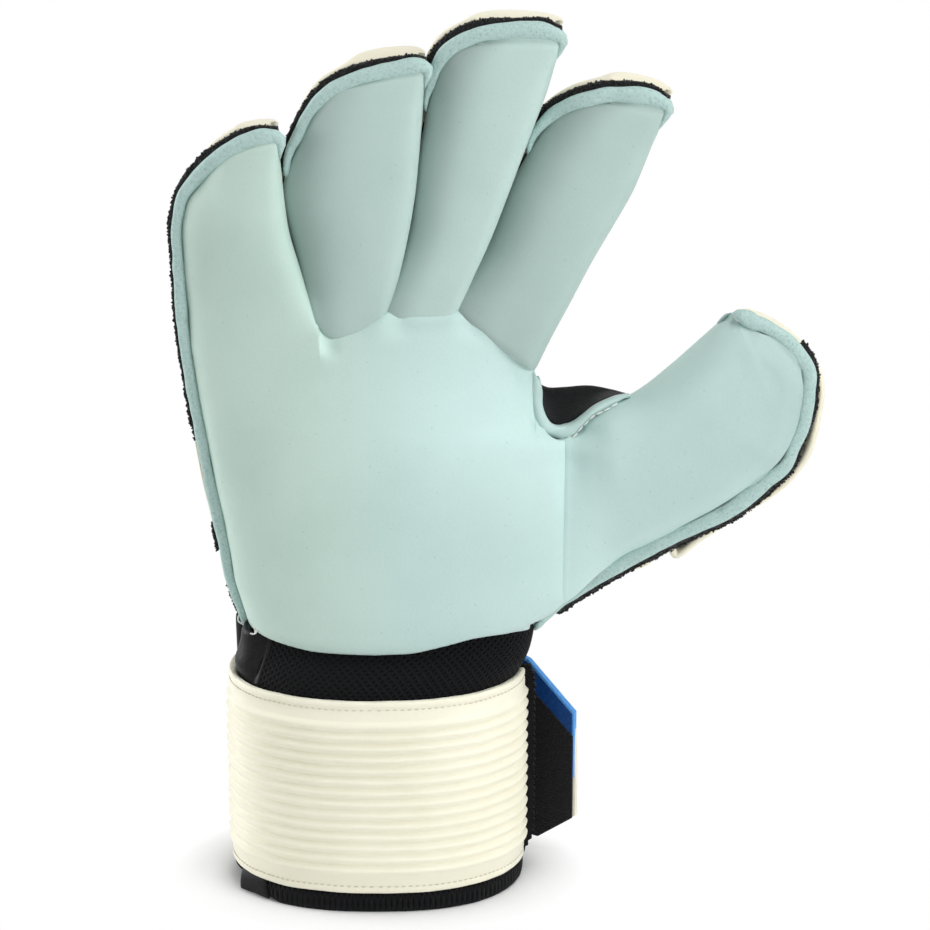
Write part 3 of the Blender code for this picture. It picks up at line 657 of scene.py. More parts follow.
# Elastic knit: matt black with crossing rows, finer in the hem and finest in the overlock thread
CUFF_KNIT = knit("black_cuff_knit", [(0.2, "040405"), (0.9, "121315")], 2.6, 2.2)
HEM_KNIT = knit("black_hem_knit", [(0.2, "040405"), (0.9, "141517")], 2.2, 1.8)
BINDING = knit("black_overlock", [(0.2, "070708"), (0.9, "202124")], 1.2, 1.6)
# Coated cloth: satin black, with soft broad lights in its folds
BLACK_PATCH = leatherette("black_leatherette", [(0.0, "0B0B0C"), (0.6, "18181A")])
# Rubber edge of the closure tab, clear blue, and the blue backing that it is glued to, painted a darker blue
# for the shade under the edge
BRIGHT_BLUE = leatherette("blue_rubber", [(0.0, "559CEC"), (0.6, "66ACF8")])
SHADED_BLUE = leatherette("shaded_blue_backing", [(0.0, "0F3468"), (0.6, "164583")])
# Spun thread: as dull as the foam, so its function does for it too
THREAD = latex_foam("white_thread", [(0.3, "DCDDD8"), (0.7, "F0F0EC")], 0.4, 0.3, 0.7, 0.2)
PALE_THREAD = latex_foam("cream_thread", [(0.3, "C9C4AE"), (0.7, "DDD8C4")], 0.4, 0.3, 0.7, 0.2)


# Front of the hand


def left_reach(z):
    return read([(high, x) for x, high in PALM_LEFT], z)


def right_reach(z):
    share = (z - PALM_BOTTOM) / HAND_HEIGHT
    rise = (z - 91.0) / 67.0
    bulge = 27.5 * math.sin(math.pi * rise) ** 0.7 if 0 < rise < 1 else 0.0
    return mix(50.4, 54.0, min(1.0, share)) + bulge


def dome(share, power):
    return (1 - min(1.0, abs(share)) ** power) ** (1 / power)


def hand_depth(x, z, wrist, knuckle, power=2.4):
    """How far the front or back of the hand stands off the seam."""
    left, right = left_reach(z), right_reach(z)
    reach = mix(wrist, knuckle, smooth((z - PALM_BOTTOM) / HAND_HEIGHT))
    return reach * dome((2 * x - left - right) / (right - left), power)


def palm_depth(x, z):
    """Front of the hand, dipping into the crease of the thumb."""
    dip = 3.2 * math.exp(-abs(x - THUMB_CREASE) / 9.0) * smooth((z - 97) / 14) * smooth((153 - z) / 8)
    return hand_depth(x, z, 26.0, 16.0) - dip


def patch(left, right, bottom, top, columns, rows):
    """Grid of flat points between four edges that share their corners."""
    sides = [evenly(edge, rows) for edge in (left, right)]
    ends = [[spline(edge, u) for u in columns] for edge in (bottom, top)]
    grid = []
    for k in range(rows):
        v = k / (rows - 1)
        row = []
        for j, u in enumerate(columns):
            point = mix(ends[0][j], ends[1][j], v) + mix(sides[0][k], sides[1][k], u)
            low = mix(ends[0][0], ends[0][-1], u)
            high = mix(ends[1][0], ends[1][-1], u)
            row.append(point - mix(low, high, v))
        grid.append(row)
    return grid


def spread(first, last, count):
    """Shares from first to last, closer together near both ends."""
    return [mix(first, last, (1 - math.cos(math.pi * i / count)) / 2) for i in range(count + 1)]


def digit_rows(pairs, count):
    """Left and right edge of a digit, row by row from root to tip."""
    lefts, rights = [p[0] for p in pairs], [p[1] for p in pairs]
    return [(spline(lefts, k / (count - 1)), spline(rights, k / (count - 1))) for k in range(count)]


def tip_share(rows, k, width, power=2.2):
    """Fullness of a row, falling to nothing at the tip."""
    left = ((rows[-1][0] + rows[-1][1]) / 2 - (rows[k][0] + rows[k][1]) / 2).length
    return dome(1 - min(1.0, left / width), power)


def finger_full(v):
    """Depth of a rolled finger: fullest a third of the way up, still deep at the raw edge of its tip."""
    share = mix(0.92, 1.0, smooth(v * 3)) - 0.2 * smooth((v - 0.4) / 0.6)
    return FINGER_FRONT * share - 0.8 * smooth((v - 0.94) / 0.06)


def tip_lean(v):
    """How far the seam leans forward towards a fingertip."""
    return TIP_LEAN * smooth((v - 0.62) / 0.3)


def roll_section(full, tuck, under, floor=0.0, rest=0.0, ridge=0.70, left_power=1.85, right_power=3.0):
    """Section of a rolled finger, (share across, depth), from its left seam to its right seam.

    It falls away gently on the left, behind its neighbour, and turns sharply under on the right.
    """
    side = max(0.45 * full, rest + 0.08 * full)
    points = []
    for i in range(15):
        t = math.pi / 2 * i / 14
        deep = floor + (full - floor) * math.sin(t) ** (2 / left_power)
        points.append((ridge - (ridge + tuck) * math.cos(t) ** (2 / left_power), deep))
    for i in range(1, 11):
        t = math.pi / 2 * i / 10
        deep = side + (full - side) * max(0.0, math.cos(t)) ** (2 / right_power)
        points.append((ridge + (1 - ridge) * math.sin(t) ** (2 / right_power), deep))
    for i in range(1, 7):
        t = math.pi / 2 * i / 6
        points.append((1 - under * (1 - math.cos(t)), mix(side, rest, math.sin(t))))
    return points


def palm_painted_shading(place):
    """Painted light and shade over the palm: painted light below the index finger and at the heel of the
    thumb, painted shade up the little finger and its outer side, warmer there.
    """
    x, z = (place.x - CUFF_X) / MM, place.z / MM
    # Painted light: a pool below the index finger (fresh) and a weaker one at the heel of the thumb; painted
    # shade up the little finger, darker still down its outer side, and a warmer, greyer colour towards that
    # shaded side.
    fresh = math.exp(-(((x - 32.0) / 34.0) ** 2) - ((z - 166.0) / 30.0) ** 2)
    heel = math.exp(-(((x - 42.0) / 24.0) ** 2) - ((z - 96.0) / 24.0) ** 2)
    painted_shade = 0.03 * smooth((z - KNUCKLE_Z) / 30.0)
    painted_shade += 0.08 * smooth((-46.0 - x) / 10.0) * smooth((z - KNUCKLE_Z) / 20.0)
    level = 1.0 + 0.17 * fresh * (1 - smooth((z - KNUCKLE_Z) / 10.0)) + 0.06 * heel - painted_shade
    shade_warmth = smooth((25.0 - x) / 60.0)
    return Vector((1 + 0.035 * shade_warmth, 1 + 0.01 * shade_warmth, 1 - 0.055 * shade_warmth)) * level


def root_dip(x):
    """How far the palm's upper edge sinks under each finger: most below its left flank."""
    dip = 0.9 * smooth((x + 17.0) / 4.0) * (1 - smooth((x - 24.0) / 4.0))
    for gap in (-17.0, 5.2, 27.0):
        if x > gap - 1.0:
            dip += ROOT_SINK * smooth((x - gap + 1.0) / 1.5) * (1 - smooth((x - gap - 1.0) / 8.0))
    return dip


def build_palm():
    """Palm and little finger in one skin of foam, as they are cut."""
    across = [u for u, _ in roll_section(1.0, 0.0, 0.0)[: FLANK + 1]]
    shares = [LITTLE_SHARE * u for u in across]
    shares += [mix(LITTLE_SHARE, 1.0, s) for s in spread(0.0, 1.0, 44)[1:]]
    count = 52
    lefts, rights = evenly(PALM_LEFT, count), evenly(PALM_RIGHT, count)
    foot = []
    for u in shares:
        x = mix(PALM_LEFT[0][0], PALM_RIGHT[0][0], u)
        foot.append(Vector((x, read(PALM_FOOT, x))))
    roots = evenly(PALM_TOP[1:], 601)
    head = [Vector(PALM_TOP[0]).lerp(Vector(PALM_TOP[1]), u) for u in across]
    head += [roots[round(600 * s)] for s in spread(0.0, 1.0, 44)[1:]]
    rows = []
    for k in range(count):
        v = k / (count - 1)
        row = []
        for j, u in enumerate(shares):
            point = mix(foot[j], head[j], v) + mix(lefts[k], rights[k], u)
            point -= mix(mix(foot[0], foot[-1], u), mix(head[0], head[-1], u), v)
            depth = palm_depth(point.x, point.y)
            depth -= root_dip(point.x) * smooth((v - 0.93) / 0.07) * (u > LITTLE_SHARE)
            depth -= 0.8 * smooth((0.03 - v) / 0.03)
            creased = smooth((point.y - 98.0) / 8.0) * smooth((156.0 - point.y) / 3.0)
            depth -= 0.9 * smooth((point.x - 57.0) / 3.6) * creased
            row.append(at(point.x, -SEAM_HALF - max(0.0, depth), point.y))
        rows.append(row)
    bm = foam_mesh()
    grown = sweep(bm, rows)
    under = [v for v in grown[-1][FLANK:] if v.co.z > 180.0 * MM]
    sweep(bm, [None, [v.co + Vector((0, 3.5 * MM, 2.5 * MM)) for v in under]], start=under)

    pairs = digit_rows(LITTLE, 40)
    last = len(pairs) - 1
    upper = []
    for k, (left, right) in enumerate(pairs):
        v = k / last
        full, lean = finger_full(v), tip_lean(v)
        under = UNDER_CURL * mix(1.0, 0.25, smooth(v * 4 - 3)) / (right - left).length
        section = roll_section(full, 0.0, under, 1.1 * lean, lean)
        row = []
        for n, (u, own) in enumerate(section):
            point = left.lerp(right, u)
            if n <= FLANK:
                depth = mix(palm_depth(point.x, point.y), own, smooth((point.y - KNUCKLE_Z) / 22.0))
            else:
                depth = (-row[FLANK].y / MM - SEAM_HALF) * own / section[FLANK][1]
            row.append(at(point.x, -SEAM_HALF - depth, point.y + LEAN_RISE * lean))
        upper.append(row)
    seam = -(SEAM_HALF + TIP_LEAN) * MM
    for rise, keep in TIP_CLOSE:
        upper.append([Vector((p.x, mix(seam, p.y, keep), p.z + rise * MM)) for p in upper[last]])
    finger = sweep(bm, [row[: FLANK + 1] for row in upper], start=grown[-1][: FLANK + 1])
    side = [row[-1] for row in finger]
    sweep(bm, [None, *[[row[n] for row in upper] for n in range(FLANK + 1, len(upper[0]))]], start=side)
    skin = [list(bm.verts)]
    # Painted light and shade over the palm and the little finger
    paint_shading(bm, skin, lambda k, n: palm_painted_shading(skin[k][n].co))
    return wall(piece("palm_skin", bm, PALM_FOAM, Vector((0, -1, 0))), FOAM_WALL)


LIP = [(0.8, 7.0), (-0.6, 5.4), (-1.3, 3.6), (-1.4, 2.2), (-1.1, 1.1), (-0.6, 0.4)]
CREASE = [(-3.0, 3.6), (-1.4, 1.2)]


def build_roll(name, pairs, sag, root, right_power, painted_shading, flank_painted_shade, count=44):
    """Palm-side foam of a finger, its root (shift along, drop) on the palm or sunk in it."""
    flat = digit_rows(pairs, count)
    middle = [(left + right) / 2 for left, right in flat]
    along = (middle[4] - middle[0]).normalized()
    steps = [(0, shift, drop, 1.0) for shift, drop in root]
    steps += [(k, 0.0, 0.0, 1.0) for k in range(count)]
    steps += [(count - 1, rise, 0.0, keep) for rise, keep in TIP_CLOSE]
    rows = []
    for k, shift, drop, keep in steps:
        v = k / (count - 1)
        left, right = flat[k]
        width = (right - left).length
        lean = tip_lean(v)
        tuck = TUCK * (1 - smooth((v - 0.4) / 0.2)) / width
        under = UNDER_CURL * mix(1.0, 0.25, smooth(v * 4 - 3)) / width
        floor = max(11.0 * (1 - smooth(v / 0.3)), 1.1 * lean)
        row = []
        for u, depth in roll_section(finger_full(v), tuck, under, floor, lean, right_power=right_power):
            low = sag * math.sin(math.pi * min(1.0, max(0.0, u)) ** 0.6) * (1 - smooth(v * 3))
            point = left.lerp(right, u) + along * (shift - low)
            deep = max(0.0, mix(lean, depth, keep) - drop)
            row.append(at(point.x, -SEAM_HALF - deep, point.y + LEAN_RISE * lean))
        rows.append(row)
    bm = foam_mesh()
    grown = sweep(bm, rows)
    across = [u for u, _ in roll_section(1.0, 0.0, 0.0)]
    # Painted shade: the whole finger greyer and warmer, set lighter or darker by its painted light level,
    # darker down its left flank where it lies behind its neighbour, and a little darker at its root.
    painted_shade_hue = Vector((1.0, 0.975, 0.955)) * painted_shading

    def shade(k, n):
        painted_shade = mix(0.70, flank_painted_shade, smooth((k - 20) / 24))
        return painted_shade_hue * (mix(painted_shade, 1.0, smooth(across[n] / 0.5)) * mix(0.92, 1.0, smooth(k / 16)))

    paint_shading(bm, grown, shade)
    return wall(piece(name, bm, PALM_FOAM, Vector((0, -1, 0))), FOAM_WALL)


def thumb_lean(v, u):
    """How far the thumb's seam leans forward: along its lower side and round its tip."""
    return THUMB_LEAN * max(smooth(v / 0.27) * smooth(2 * u - 0.6), smooth((v - 0.64) / 0.08))


def build_thumb_roll():
    """Palm-side foam of the thumb, leaving the palm at the crease and turned under at its seams."""
    across = spread(0.0, 1.0, 40)
    flat = digit_rows(THUMB, 61)
    rim = evenly([p[:2] for p in EDGES["thumb"]], 160)
    ridge = evenly([p[0] for p in THUMB[:8]], 80)

    def away(spot, seam):
        nearest = 1e9
        for first, last in zip(seam, seam[1:]):
            run = last.xy - first.xy
            share = min(1.0, max(0.0, (spot - first.xy).dot(run) / run.length_squared))
            nearest = min(nearest, (spot - first.xy - run * share).length)
        return nearest

    rows = []
    for k, (left, right) in enumerate(flat):
        v = k / 60
        full = mix(THUMB_FRONT, THUMB_FRONT + 1.0, smooth(k / 30)) * (1 - 0.25 * smooth((k - 26) / 34))
        share = smooth(k / 12)
        row = []
        for u in across:
            point = left.lerp(right, u)
            lean = thumb_lean(v, u)
            edge = 6.0 * (1 - smooth((point.x - 62.0) / 24.0))
            floor = 1.9 * THUMB_LEAN * smooth(v / 0.27)
            low = min(1.0, away(point.xy, rim) / 30.0)
            below = away(point.xy, ridge)
            top = dome(1 - min(1.0, below / 13.0), 2.0)
            near = min(1.0, low * 30.0 / 7.0)
            swell = 0.5 * math.sin(math.pi / 2 * near) + 0.5 * math.sin(math.pi / 2 * low)
            own = floor + (full - floor) * swell
            own = min(edge, own) + (own - min(edge, own)) * top
            depth = mix(palm_depth(min(point.x, THUMB_CREASE), point.y) - 0.3, own, share)
            outer = smooth(2 * u - 0.6) * (1 - smooth((v - 0.85) / 0.1))
            rise = LEAN_RISE * lean * mix(1.0, 1.5, outer) * smooth(below / 5.0)
            row.append(at(point.x, -SEAM_HALF - max(0.0, depth), point.y + rise))
        rows.append(row)
    tucked = [p + Vector((-3.0 * MM, 2.4 * MM, 0)) for p in rows[0]]
    beyond = [p + Vector((1.4 * MM, 0, 1.2 * MM)) for p in rows[-1]]
    bm = foam_mesh()
    grown = sweep(bm, [tucked, *rows, beyond])

    # Painted shade: a little lighter near the root, darker towards the tip.
    def shade(k, n):
        level = 1.08 - 0.08 * smooth((k - 6) / 14) - 0.17 * smooth((k - 20) / 34)
        return Vector((1, 1, 1)) * level

    paint_shading(bm, grown, shade)
    return wall(piece("thumb_roll_skin", bm, PALM_FOAM, Vector((0, -1, 0))), THUMB_WALL)


# Seams


def build_edge(name, points, seed):
    """Raw latex edge standing outside a seam, as thick as the foam and cut by hand."""
    length = sum((Vector(b[:2]) - Vector(a[:2])).length for a, b in zip(points, points[1:]))
    count = int(length / EDGE_STEP)
    path = evenly(points, count)
    rows = []
    for i, (point, side) in enumerate(zip(path, outward(path))):
        width = point.z + 0.35 * rough(point.x, point.y, 5.0, seed)
        width += 0.12 * point.z * rough(point.x, point.y, 14.0, seed + 2)
        inner = -0.6 + 0.55 * rough(point.x, point.y, 7.0, seed + 5)
        end = min(1.0, (min(i, count - 1 - i) + 0.5) / 3) ** 0.5
        half = (width - inner) / 2 * end
        middle = point.xy + side * (width + inner) / 2
        thick = (EDGE_THICK / 2 + 0.15 * rough(point.x, point.y, 4.0, seed + 3)) * end
        ring = []
        for n in range(14):
            t = 2 * math.pi * n / 14
            c, s = math.cos(t), math.sin(t)
            spot = middle + side * (math.copysign(abs(c) ** 0.7, c) * half)
            deep = math.copysign(abs(s) ** 0.7, s) * thick
            ring.append(at(spot.x, -0.6 - EDGE_THICK / 2 - point.w + deep, spot.y + LEAN_RISE * point.w))
        rows.append(ring)
    bm = bmesh.new()
    sweep(bm, rows, ring=True)
    close_ends(bm)
    return piece(name, bm, EDGE_FOAM)


def build_terry(name, strips, seed):
    """Black terry cloth sewn into the seam, its cut loops showing as a bumpy dark line."""
    bm = bmesh.new()
    draw = random.Random(seed)
    for points in strips:
        length = sum((Vector(b[:2]) - Vector(a[:2])).length for a, b in zip(points, points[1:]))
        count = max(8, int(length / 1.6))
        path = evenly(points, count)
        rows = []
        for i, (point, side) in enumerate(zip(path, outward(path))):
            show = point.z
            if show > 1:
                show += 0.3 * rough(point.x, point.y, 2.5, seed) + 0.35 * rough(point.x, point.y, 13.0, seed)
            if i in (0, count - 1):
                show = min(show, 0.4 * point.z)
            fold = show - 0.4
            ring = []
            for reach, deep in ((-3.0, -0.6), (fold, -0.75), (show, 0.0), (fold, 0.75), (-3.0, 0.6)):
                spot = point.xy + side * reach
                ring.append(at(spot.x, deep - point.w, spot.y + LEAN_RISE * point.w))
            rows.append(ring)
        sweep(bm, rows, ring=True)
        close_ends(bm)
        beads = max(4, int(length / 0.65))
        path = evenly(points, beads)
        for point, side in list(zip(path, outward(path)))[2:-4]:
            if point.z < 1.0:
                continue
            for deep in (-0.6, 0.05):
                reach = point.z - 0.25 + 0.35 * rough(point.x, point.y, 13.0, seed) + draw.uniform(-0.4, 0.35)
                spot = point.xy + side * reach
                place = at(spot.x, deep + draw.uniform(-0.25, 0.25) - point.w, spot.y + LEAN_RISE * point.w)
                turn = Matrix.Rotation(draw.uniform(0, 6.28), 4, "Y")
                size = Matrix.Diagonal((draw.uniform(0.7, 1.4), 1.0, draw.uniform(0.6, 1.1), 1.0))
                where = Matrix.Translation(place) @ turn @ size
                radius = draw.uniform(0.3, 0.55) * MM
                bmesh.ops.create_icosphere(bm, subdivisions=1, radius=radius, matrix=where)
    return piece(name, bm, TERRY, angle=80.0)


def seam_sides(pairs, count=12):
    """The bare seams down both sides of a finger, as the roll leaves them."""
    lefts, rights = [], []
    for k in range(count + 1):
        v = 0.97 * k / count
        left, right = spline([p[0] for p in pairs], v), spline([p[1] for p in pairs], v)
        run = (right - left).normalized()
        left = left - run * TUCK * (1 - smooth((v - 0.4) / 0.2))
        right = right - run * UNDER_CURL * mix(1.0, 0.25, smooth(v * 4 - 3))
        if v < 0.62:
            lefts.append((left.x, left.y, 0.25, 0.0))
        rights.append((right.x, right.y, 0.25, tip_lean(v)))
    return lefts, rights[::-1]


# Backs


def finger_rear(pairs, edge, flanged):
    """Outline of a finger's back: along the seams, then past the raw edge and its terry at the tip."""
    lefts, rights = [Vector(p[0]) for p in pairs], [Vector(p[1]) for p in pairs]
    sides = outward(lefts + rights[::-1])
    last = len(pairs) - 1
    past = edge + TERRY_SHOW + CREAM_SHOW
    along = ((lefts[last] + rights[last]) / 2 - (lefts[2] + rights[2]) / 2).normalized()
    made = []
    for k, (left, right) in enumerate(zip(lefts, rights)):
        v = k / last
        run = (right - left).normalized()
        shown = past - mix(1.6, 0.0, smooth((v - 0.72) / 0.16))
        if flanged:
            let_out = mix(4.0, shown, smooth((v - 0.5) / 0.3))
        else:
            let_out = mix(TUCK, shown, smooth((v - 0.4) / 0.4))
        right = right - run * UNDER_CURL * mix(1.0, 0.1, smooth(v * 4 - 3))
        rise = (past - 0.7) * smooth((v - 0.6) / 0.4)
        made.append((left + sides[k] * let_out, right + along * rise - run * (0.6 if k == last else 0.0)))
    return made


def rear_lean(v, _):
    """How far a finger's back leans forward at its tip, all across it, staying behind the terry."""
    return 6.4 * smooth((v - 0.68) / 0.32)


def build_back(name, pairs, root, full, knuckles, lean, nose, count=56, columns=28):
    """Cream foam over the back of a digit, quilted where it bends, as deep at its root as what it meets."""
    across = spread(0.0, 1.0, columns)
    flat = digit_rows(pairs, count)
    middle = [(left + right) / 2 for left, right in flat]
    along = (middle[4] - middle[0]).normalized()
    rows = []
    for tuck, drop in ((9.0, 4.0), (4.0, 3.2)):
        row = []
        for u in across:
            point = flat[0][0].lerp(flat[0][1], u) - along * tuck
            row.append(at(point.x, SEAM_HALF + max(0.0, root * dome(2 * u - 1, 2.4) - drop), point.y))
        rows.append(row)
    for k, (left, right) in enumerate(flat):
        v = k / (count - 1)
        share = tip_share(flat, k, 9.0, 2.8)
        reach = mix(root, full, smooth(v / 0.28)) * share
        row = []
        for u in across:
            crown = dome(2 * u - 1, 2.4)
            point = left.lerp(right, u) + along * (nose * crown * math.sin(math.pi * share))
            depth = reach * crown
            for spot in knuckles:
                depth -= 2.0 * crown * math.exp(-(((v - spot) * 26) ** 2))
            fore = lean(v, u) * (1 - crown * share)
            row.append(at(point.x, SEAM_HALF + max(0.0, depth) - fore, point.y + LEAN_RISE * fore))
        rows.append(row)
    bm = bmesh.new()
    sweep(bm, rows)
    return wall(piece(name, bm, CREAM_FOAM, Vector((0, 1, 0))), FOAM_WALL)


def build_backhand():
    """Cream foam over the back of the hand, with sewn channels that follow the fingers."""
    shares = spread(0.0, 1.0, 64)
    count = 52
    left = [(x - mix(2.4, 4.5, smooth((z - 116.0) / 5.0)), z) for x, z in evenly(PALM_LEFT, 40)]
    right = [(x + (3.0 if z < 99 else 0.4), z) for x, z in PALM_RIGHT]
    top = [(left[-1][0], 183.0), (-17.0, 188.0), (4.8, 190.5), (26.4, 190.6)]
    top += [(43.4, 182.4), (49.0, 173.2), (49.8, 163.6), right[-1]]
    bottom = [left[0], right[0]]
    grid = patch(left, right, bottom, top, shares, count)
    rows = []
    for k, line in enumerate(grid):
        v = k / (count - 1)
        row = []
        for u, point in zip(shares, line):
            depth = hand_depth(point.x * 0.96, point.y, 24.0, 13.0)
            depth *= min(1.0, max(0.0, min(u, 1.2 - u) * 9)) ** 0.5 if u < 0.12 else 1.0
            for channel in (0.3, 0.52, 0.74):
                line_at = mix(0.5, channel, smooth(v * 1.15))
                away = (u - line_at) * 110
                depth -= 1.7 * math.exp(-((away / 1.7) ** 2)) * smooth((v - 0.22) * 6)
            depth -= 1.7 * math.exp(-(((v - 0.17) * 105 / 1.7) ** 2))
            row.append(at(point.x, SEAM_HALF + max(FOAM_WALL, depth), point.y))
        rows.append(row)
    bm = bmesh.new()
    sweep(bm, rows)
    return wall(piece("backhand_skin", bm, CREAM_FOAM, Vector((0, 1, 0))), FOAM_WALL)


# Crotch of the thumb

RIM_SEAM = [
    (49.8, 175.2),
    (49.9, 166.0),
    (51.3, 159.2),
    (54.2, 154.3),
    (57.8, 152.6),
    (60.7, 152.4),
    (62.2, 152.8),
    (65.7, 156.4),
    (69.5, 160.1),
    (73.2, 162.0),
    (77.0, 164.3),
    (80.5, 166.2),
]
RIM_FOLD = [
    (52.6, 172.0),
    (53.3, 168.0),
    (53.4, 163.7),
    (54.7, 159.8),
    (56.9, 157.1),
    (59.3, 156.6),
    (62.0, 157.1),
    (65.8, 159.8),
    (69.5, 162.8),
    (73.3, 164.7),
    (76.4, 165.9),
    (81.0, 166.6),
]

# Section of the rim: (share of the way from seam to fold, beyond it, depth)
RIM_SECTION = [
    (0.0, -1.4, 4.6),
    (0.0, -0.2, 6.6),
    (0.25, 0.0, 7.2),
    (0.6, 0.0, 7.1),
    (0.9, 0.0, 6.4),
    (1.0, 0.0, 5.4),
    (1.0, -0.5, 3.4),
    (1.0, -0.9, 2.0),
]
# The web's front edge, its fold and its rear edge, (front, fold, rear) from the index finger to the thumb
WEB = [
    ((50.5, -1.5, 167.5), (51.4, 6.0, 166.2), (48.6, 5.2, 167.0)),
    ((52.2, -2.0, 160.0), (54.8, 6.5, 164.9), (50.5, 4.8, 158.0)),
    ((58.5, -2.5, 154.6), (60.6, 7.0, 165.1), (58.0, 6.0, 150.0)),
    ((66.0, -2.0, 158.2), (68.8, 7.0, 165.5), (67.0, 6.0, 151.0)),
    ((74.0, -1.0, 163.0), (75.4, 6.0, 164.1), (76.0, 6.0, 155.0)),
    ((81.0, 0.5, 163.4), (81.0, 4.5, 162.4), (84.0, 5.0, 159.0)),
]


def build_rim():
    """Folded latex edge round the crotch of the thumb."""
    rows = []
    for seam, fold in zip(evenly(RIM_SEAM, 70), evenly(RIM_FOLD, 70)):
        step = (fold - seam).normalized()
        rise = 1.5 * smooth((seam.x - 62.0) / 20.0) - 1.6 * smooth((57.0 - seam.x) / 3.0)
        row = []
        for share, out, deep in RIM_SECTION:
            spot = seam.lerp(fold, share) + step * out
            row.append(at(spot.x, -max(1.0, deep - rise), spot.y))
        rows.append(row)
    bm = foam_mesh()
    paint_shading(bm, sweep(bm, rows), lambda k, n: (1.0, 1.0, 1.0))
    return wall(piece("crotch_rim", bm, PALM_FOAM, Vector((0, -1, 0))), 1.0)


def build_web():
    """Black stretch cloth between thumb and index finger."""
    rows = []
    for i in range(36):
        front, fold, rear = (spline(line, i / 35) for line in zip(*WEB))
        row = [front]
        for first, last, steps, belly in ((front, fold, 10, 1.6), (fold, rear, 7, 1.2)):
            for n in range(1, steps + 1):
                out = Vector((0, belly * math.sin(math.pi * n / steps), 0))
                row.append(first.lerp(last, n / steps) + out)
        rows.append([at(*point) for point in row])
    bm = bmesh.new()
    sweep(bm, rows)
    return wall(piece("thumb_web", bm, WEB_CLOTH, Vector((0, -1, 0.2))), 1.2)


# Wrist


def wrist_point(angle, stand, z):
    """A point round the wrist, an even distance off the knit."""
    t = math.radians(angle)
    c, s = math.cos(t), math.sin(t)
    x = math.copysign(CUFF_HALF_WIDTH * abs(c) ** (2 / WRIST_POWER), c)
    y = math.copysign(CUFF_HALF_DEPTH * abs(s) ** (2 / WRIST_POWER), s)
    share = 2 - 2 / WRIST_POWER
    sideways = math.copysign(abs(c) ** share / CUFF_HALF_WIDTH, c)
    off = Vector((sideways, math.copysign(abs(s) ** share / CUFF_HALF_DEPTH, s))).normalized()
    return at(x + off.x * stand, y + off.y * stand, z)


def hand_point(angle, inset, z):
    """A point of the hand's section where the cuff is sewn in, drawn in by an inset."""
    left, right = left_reach(z) - 1.0, right_reach(z) + 3.0
    c, s = math.cos(math.radians(angle)), math.sin(math.radians(angle))
    half = (right - left) / 2 - inset
    reach = (24.0 if s > 0 else 26.0) - inset
    x = (left + right) / 2 + math.copysign(half * abs(c) ** (2 / 2.4), c)
    return at(x, math.copysign(reach * abs(s) ** (2 / 2.4), s), z)


def cuff_point(angle, stand, z):
    """A point off the knit, which narrows from the wrist into the hand."""
    hand = hand_point(angle, 2.2 - stand, 88.6)
    return wrist_point(angle, stand, z).lerp(Vector((hand.x, hand.y, z * MM)), smooth((z - 68.0) / 20.0))


def build_cuff():
    """Knitted cuff, gathered where it is sewn into the hand."""
    turns = [3.0 * (n + 0.5) for n in range(120)]
    rows = []
    for z in CUFF_ROWS:
        swell = 0.7 * math.exp(-(((z - 78.5) / 4.0) ** 2))
        rows.append([cuff_point(angle, swell, z if z > 1 else 5.6) for angle in turns])
    for z, inset in ((90.0, 3.4), (93.0, 5.0), (97.0, 5.6)):
        rows.append([hand_point(angle, inset, z) for angle in turns])
    bm = bmesh.new()
    grown = sweep(bm, rows, ring=True)
    lay_map(bm, grown, wrap=True)
    return wall(piece("cuff_knit", bm, CUFF_KNIT), 2.0)


def build_hem():
    """Folded hem that the glove stands on."""
    count = 160
    section = [(0.1, 0.0), (1.6, 0.0), (2.3, 0.8), (2.5, 2.6), (2.4, 4.8), (1.9, 6.3), (0.9, 6.8), (0.1, 6.4)]
    rows = []
    for n in range(count):
        angle = 360 * n / count
        wave = 0.25 * math.sin(math.radians(angle * 5)) + 0.2 * rough(angle, 0, 9.0, 4)
        lift = 5.4 * smooth((-30.0 - (wrist_point(angle, 0, 0).x - CUFF_X) / MM) / 13.0)
        row = []
        for d, z in section:
            row.append(wrist_point(angle, d + (wave if d > 0.2 else 0), z + lift * (1 - z / 6.8)))
        rows.append(row)
    rows.append(rows[0])
    bm = bmesh.new()
    grown = sweep(bm, rows, ring=True)
    lay_map(bm, grown)
    bmesh.ops.remove_doubles(bm, verts=bm.verts, dist=1e-6)
    return piece("hem_roll", bm, HEM_KNIT, angle=50.0)


def rib_section(inner):
    """Strap section from its top inner edge round the ribbed face."""
    low, high = STRAP_BOTTOM + STRAP_MARGIN, STRAP_TOP - STRAP_MARGIN
    points = [(inner, STRAP_TOP - 0.6), (inner, STRAP_BOTTOM + 0.6)]
    points += [(inner + 0.7, STRAP_BOTTOM), (STRAP_LAYER - 0.5, STRAP_BOTTOM)]
    border = [(0.0, 0.6), (0.0, 1.9), (-STITCH_GROOVE, STITCH_INSET), (0.0, 3.1)]
    points += [(STRAP_LAYER + d, STRAP_BOTTOM + z) for d, z in border]
    steps = 8 * RIB_COUNT
    for i in range(steps + 1):
        wave = math.sin(math.pi * i / 8) ** 2
        points.append((STRAP_LAYER + RIB_HEIGHT * wave**0.7, mix(low, high, i / steps)))
    points += [(STRAP_LAYER + d, STRAP_TOP - z) for d, z in reversed(border)]
    points += [(STRAP_LAYER - 0.5, STRAP_TOP), (inner + 0.7, STRAP_TOP)]
    return points


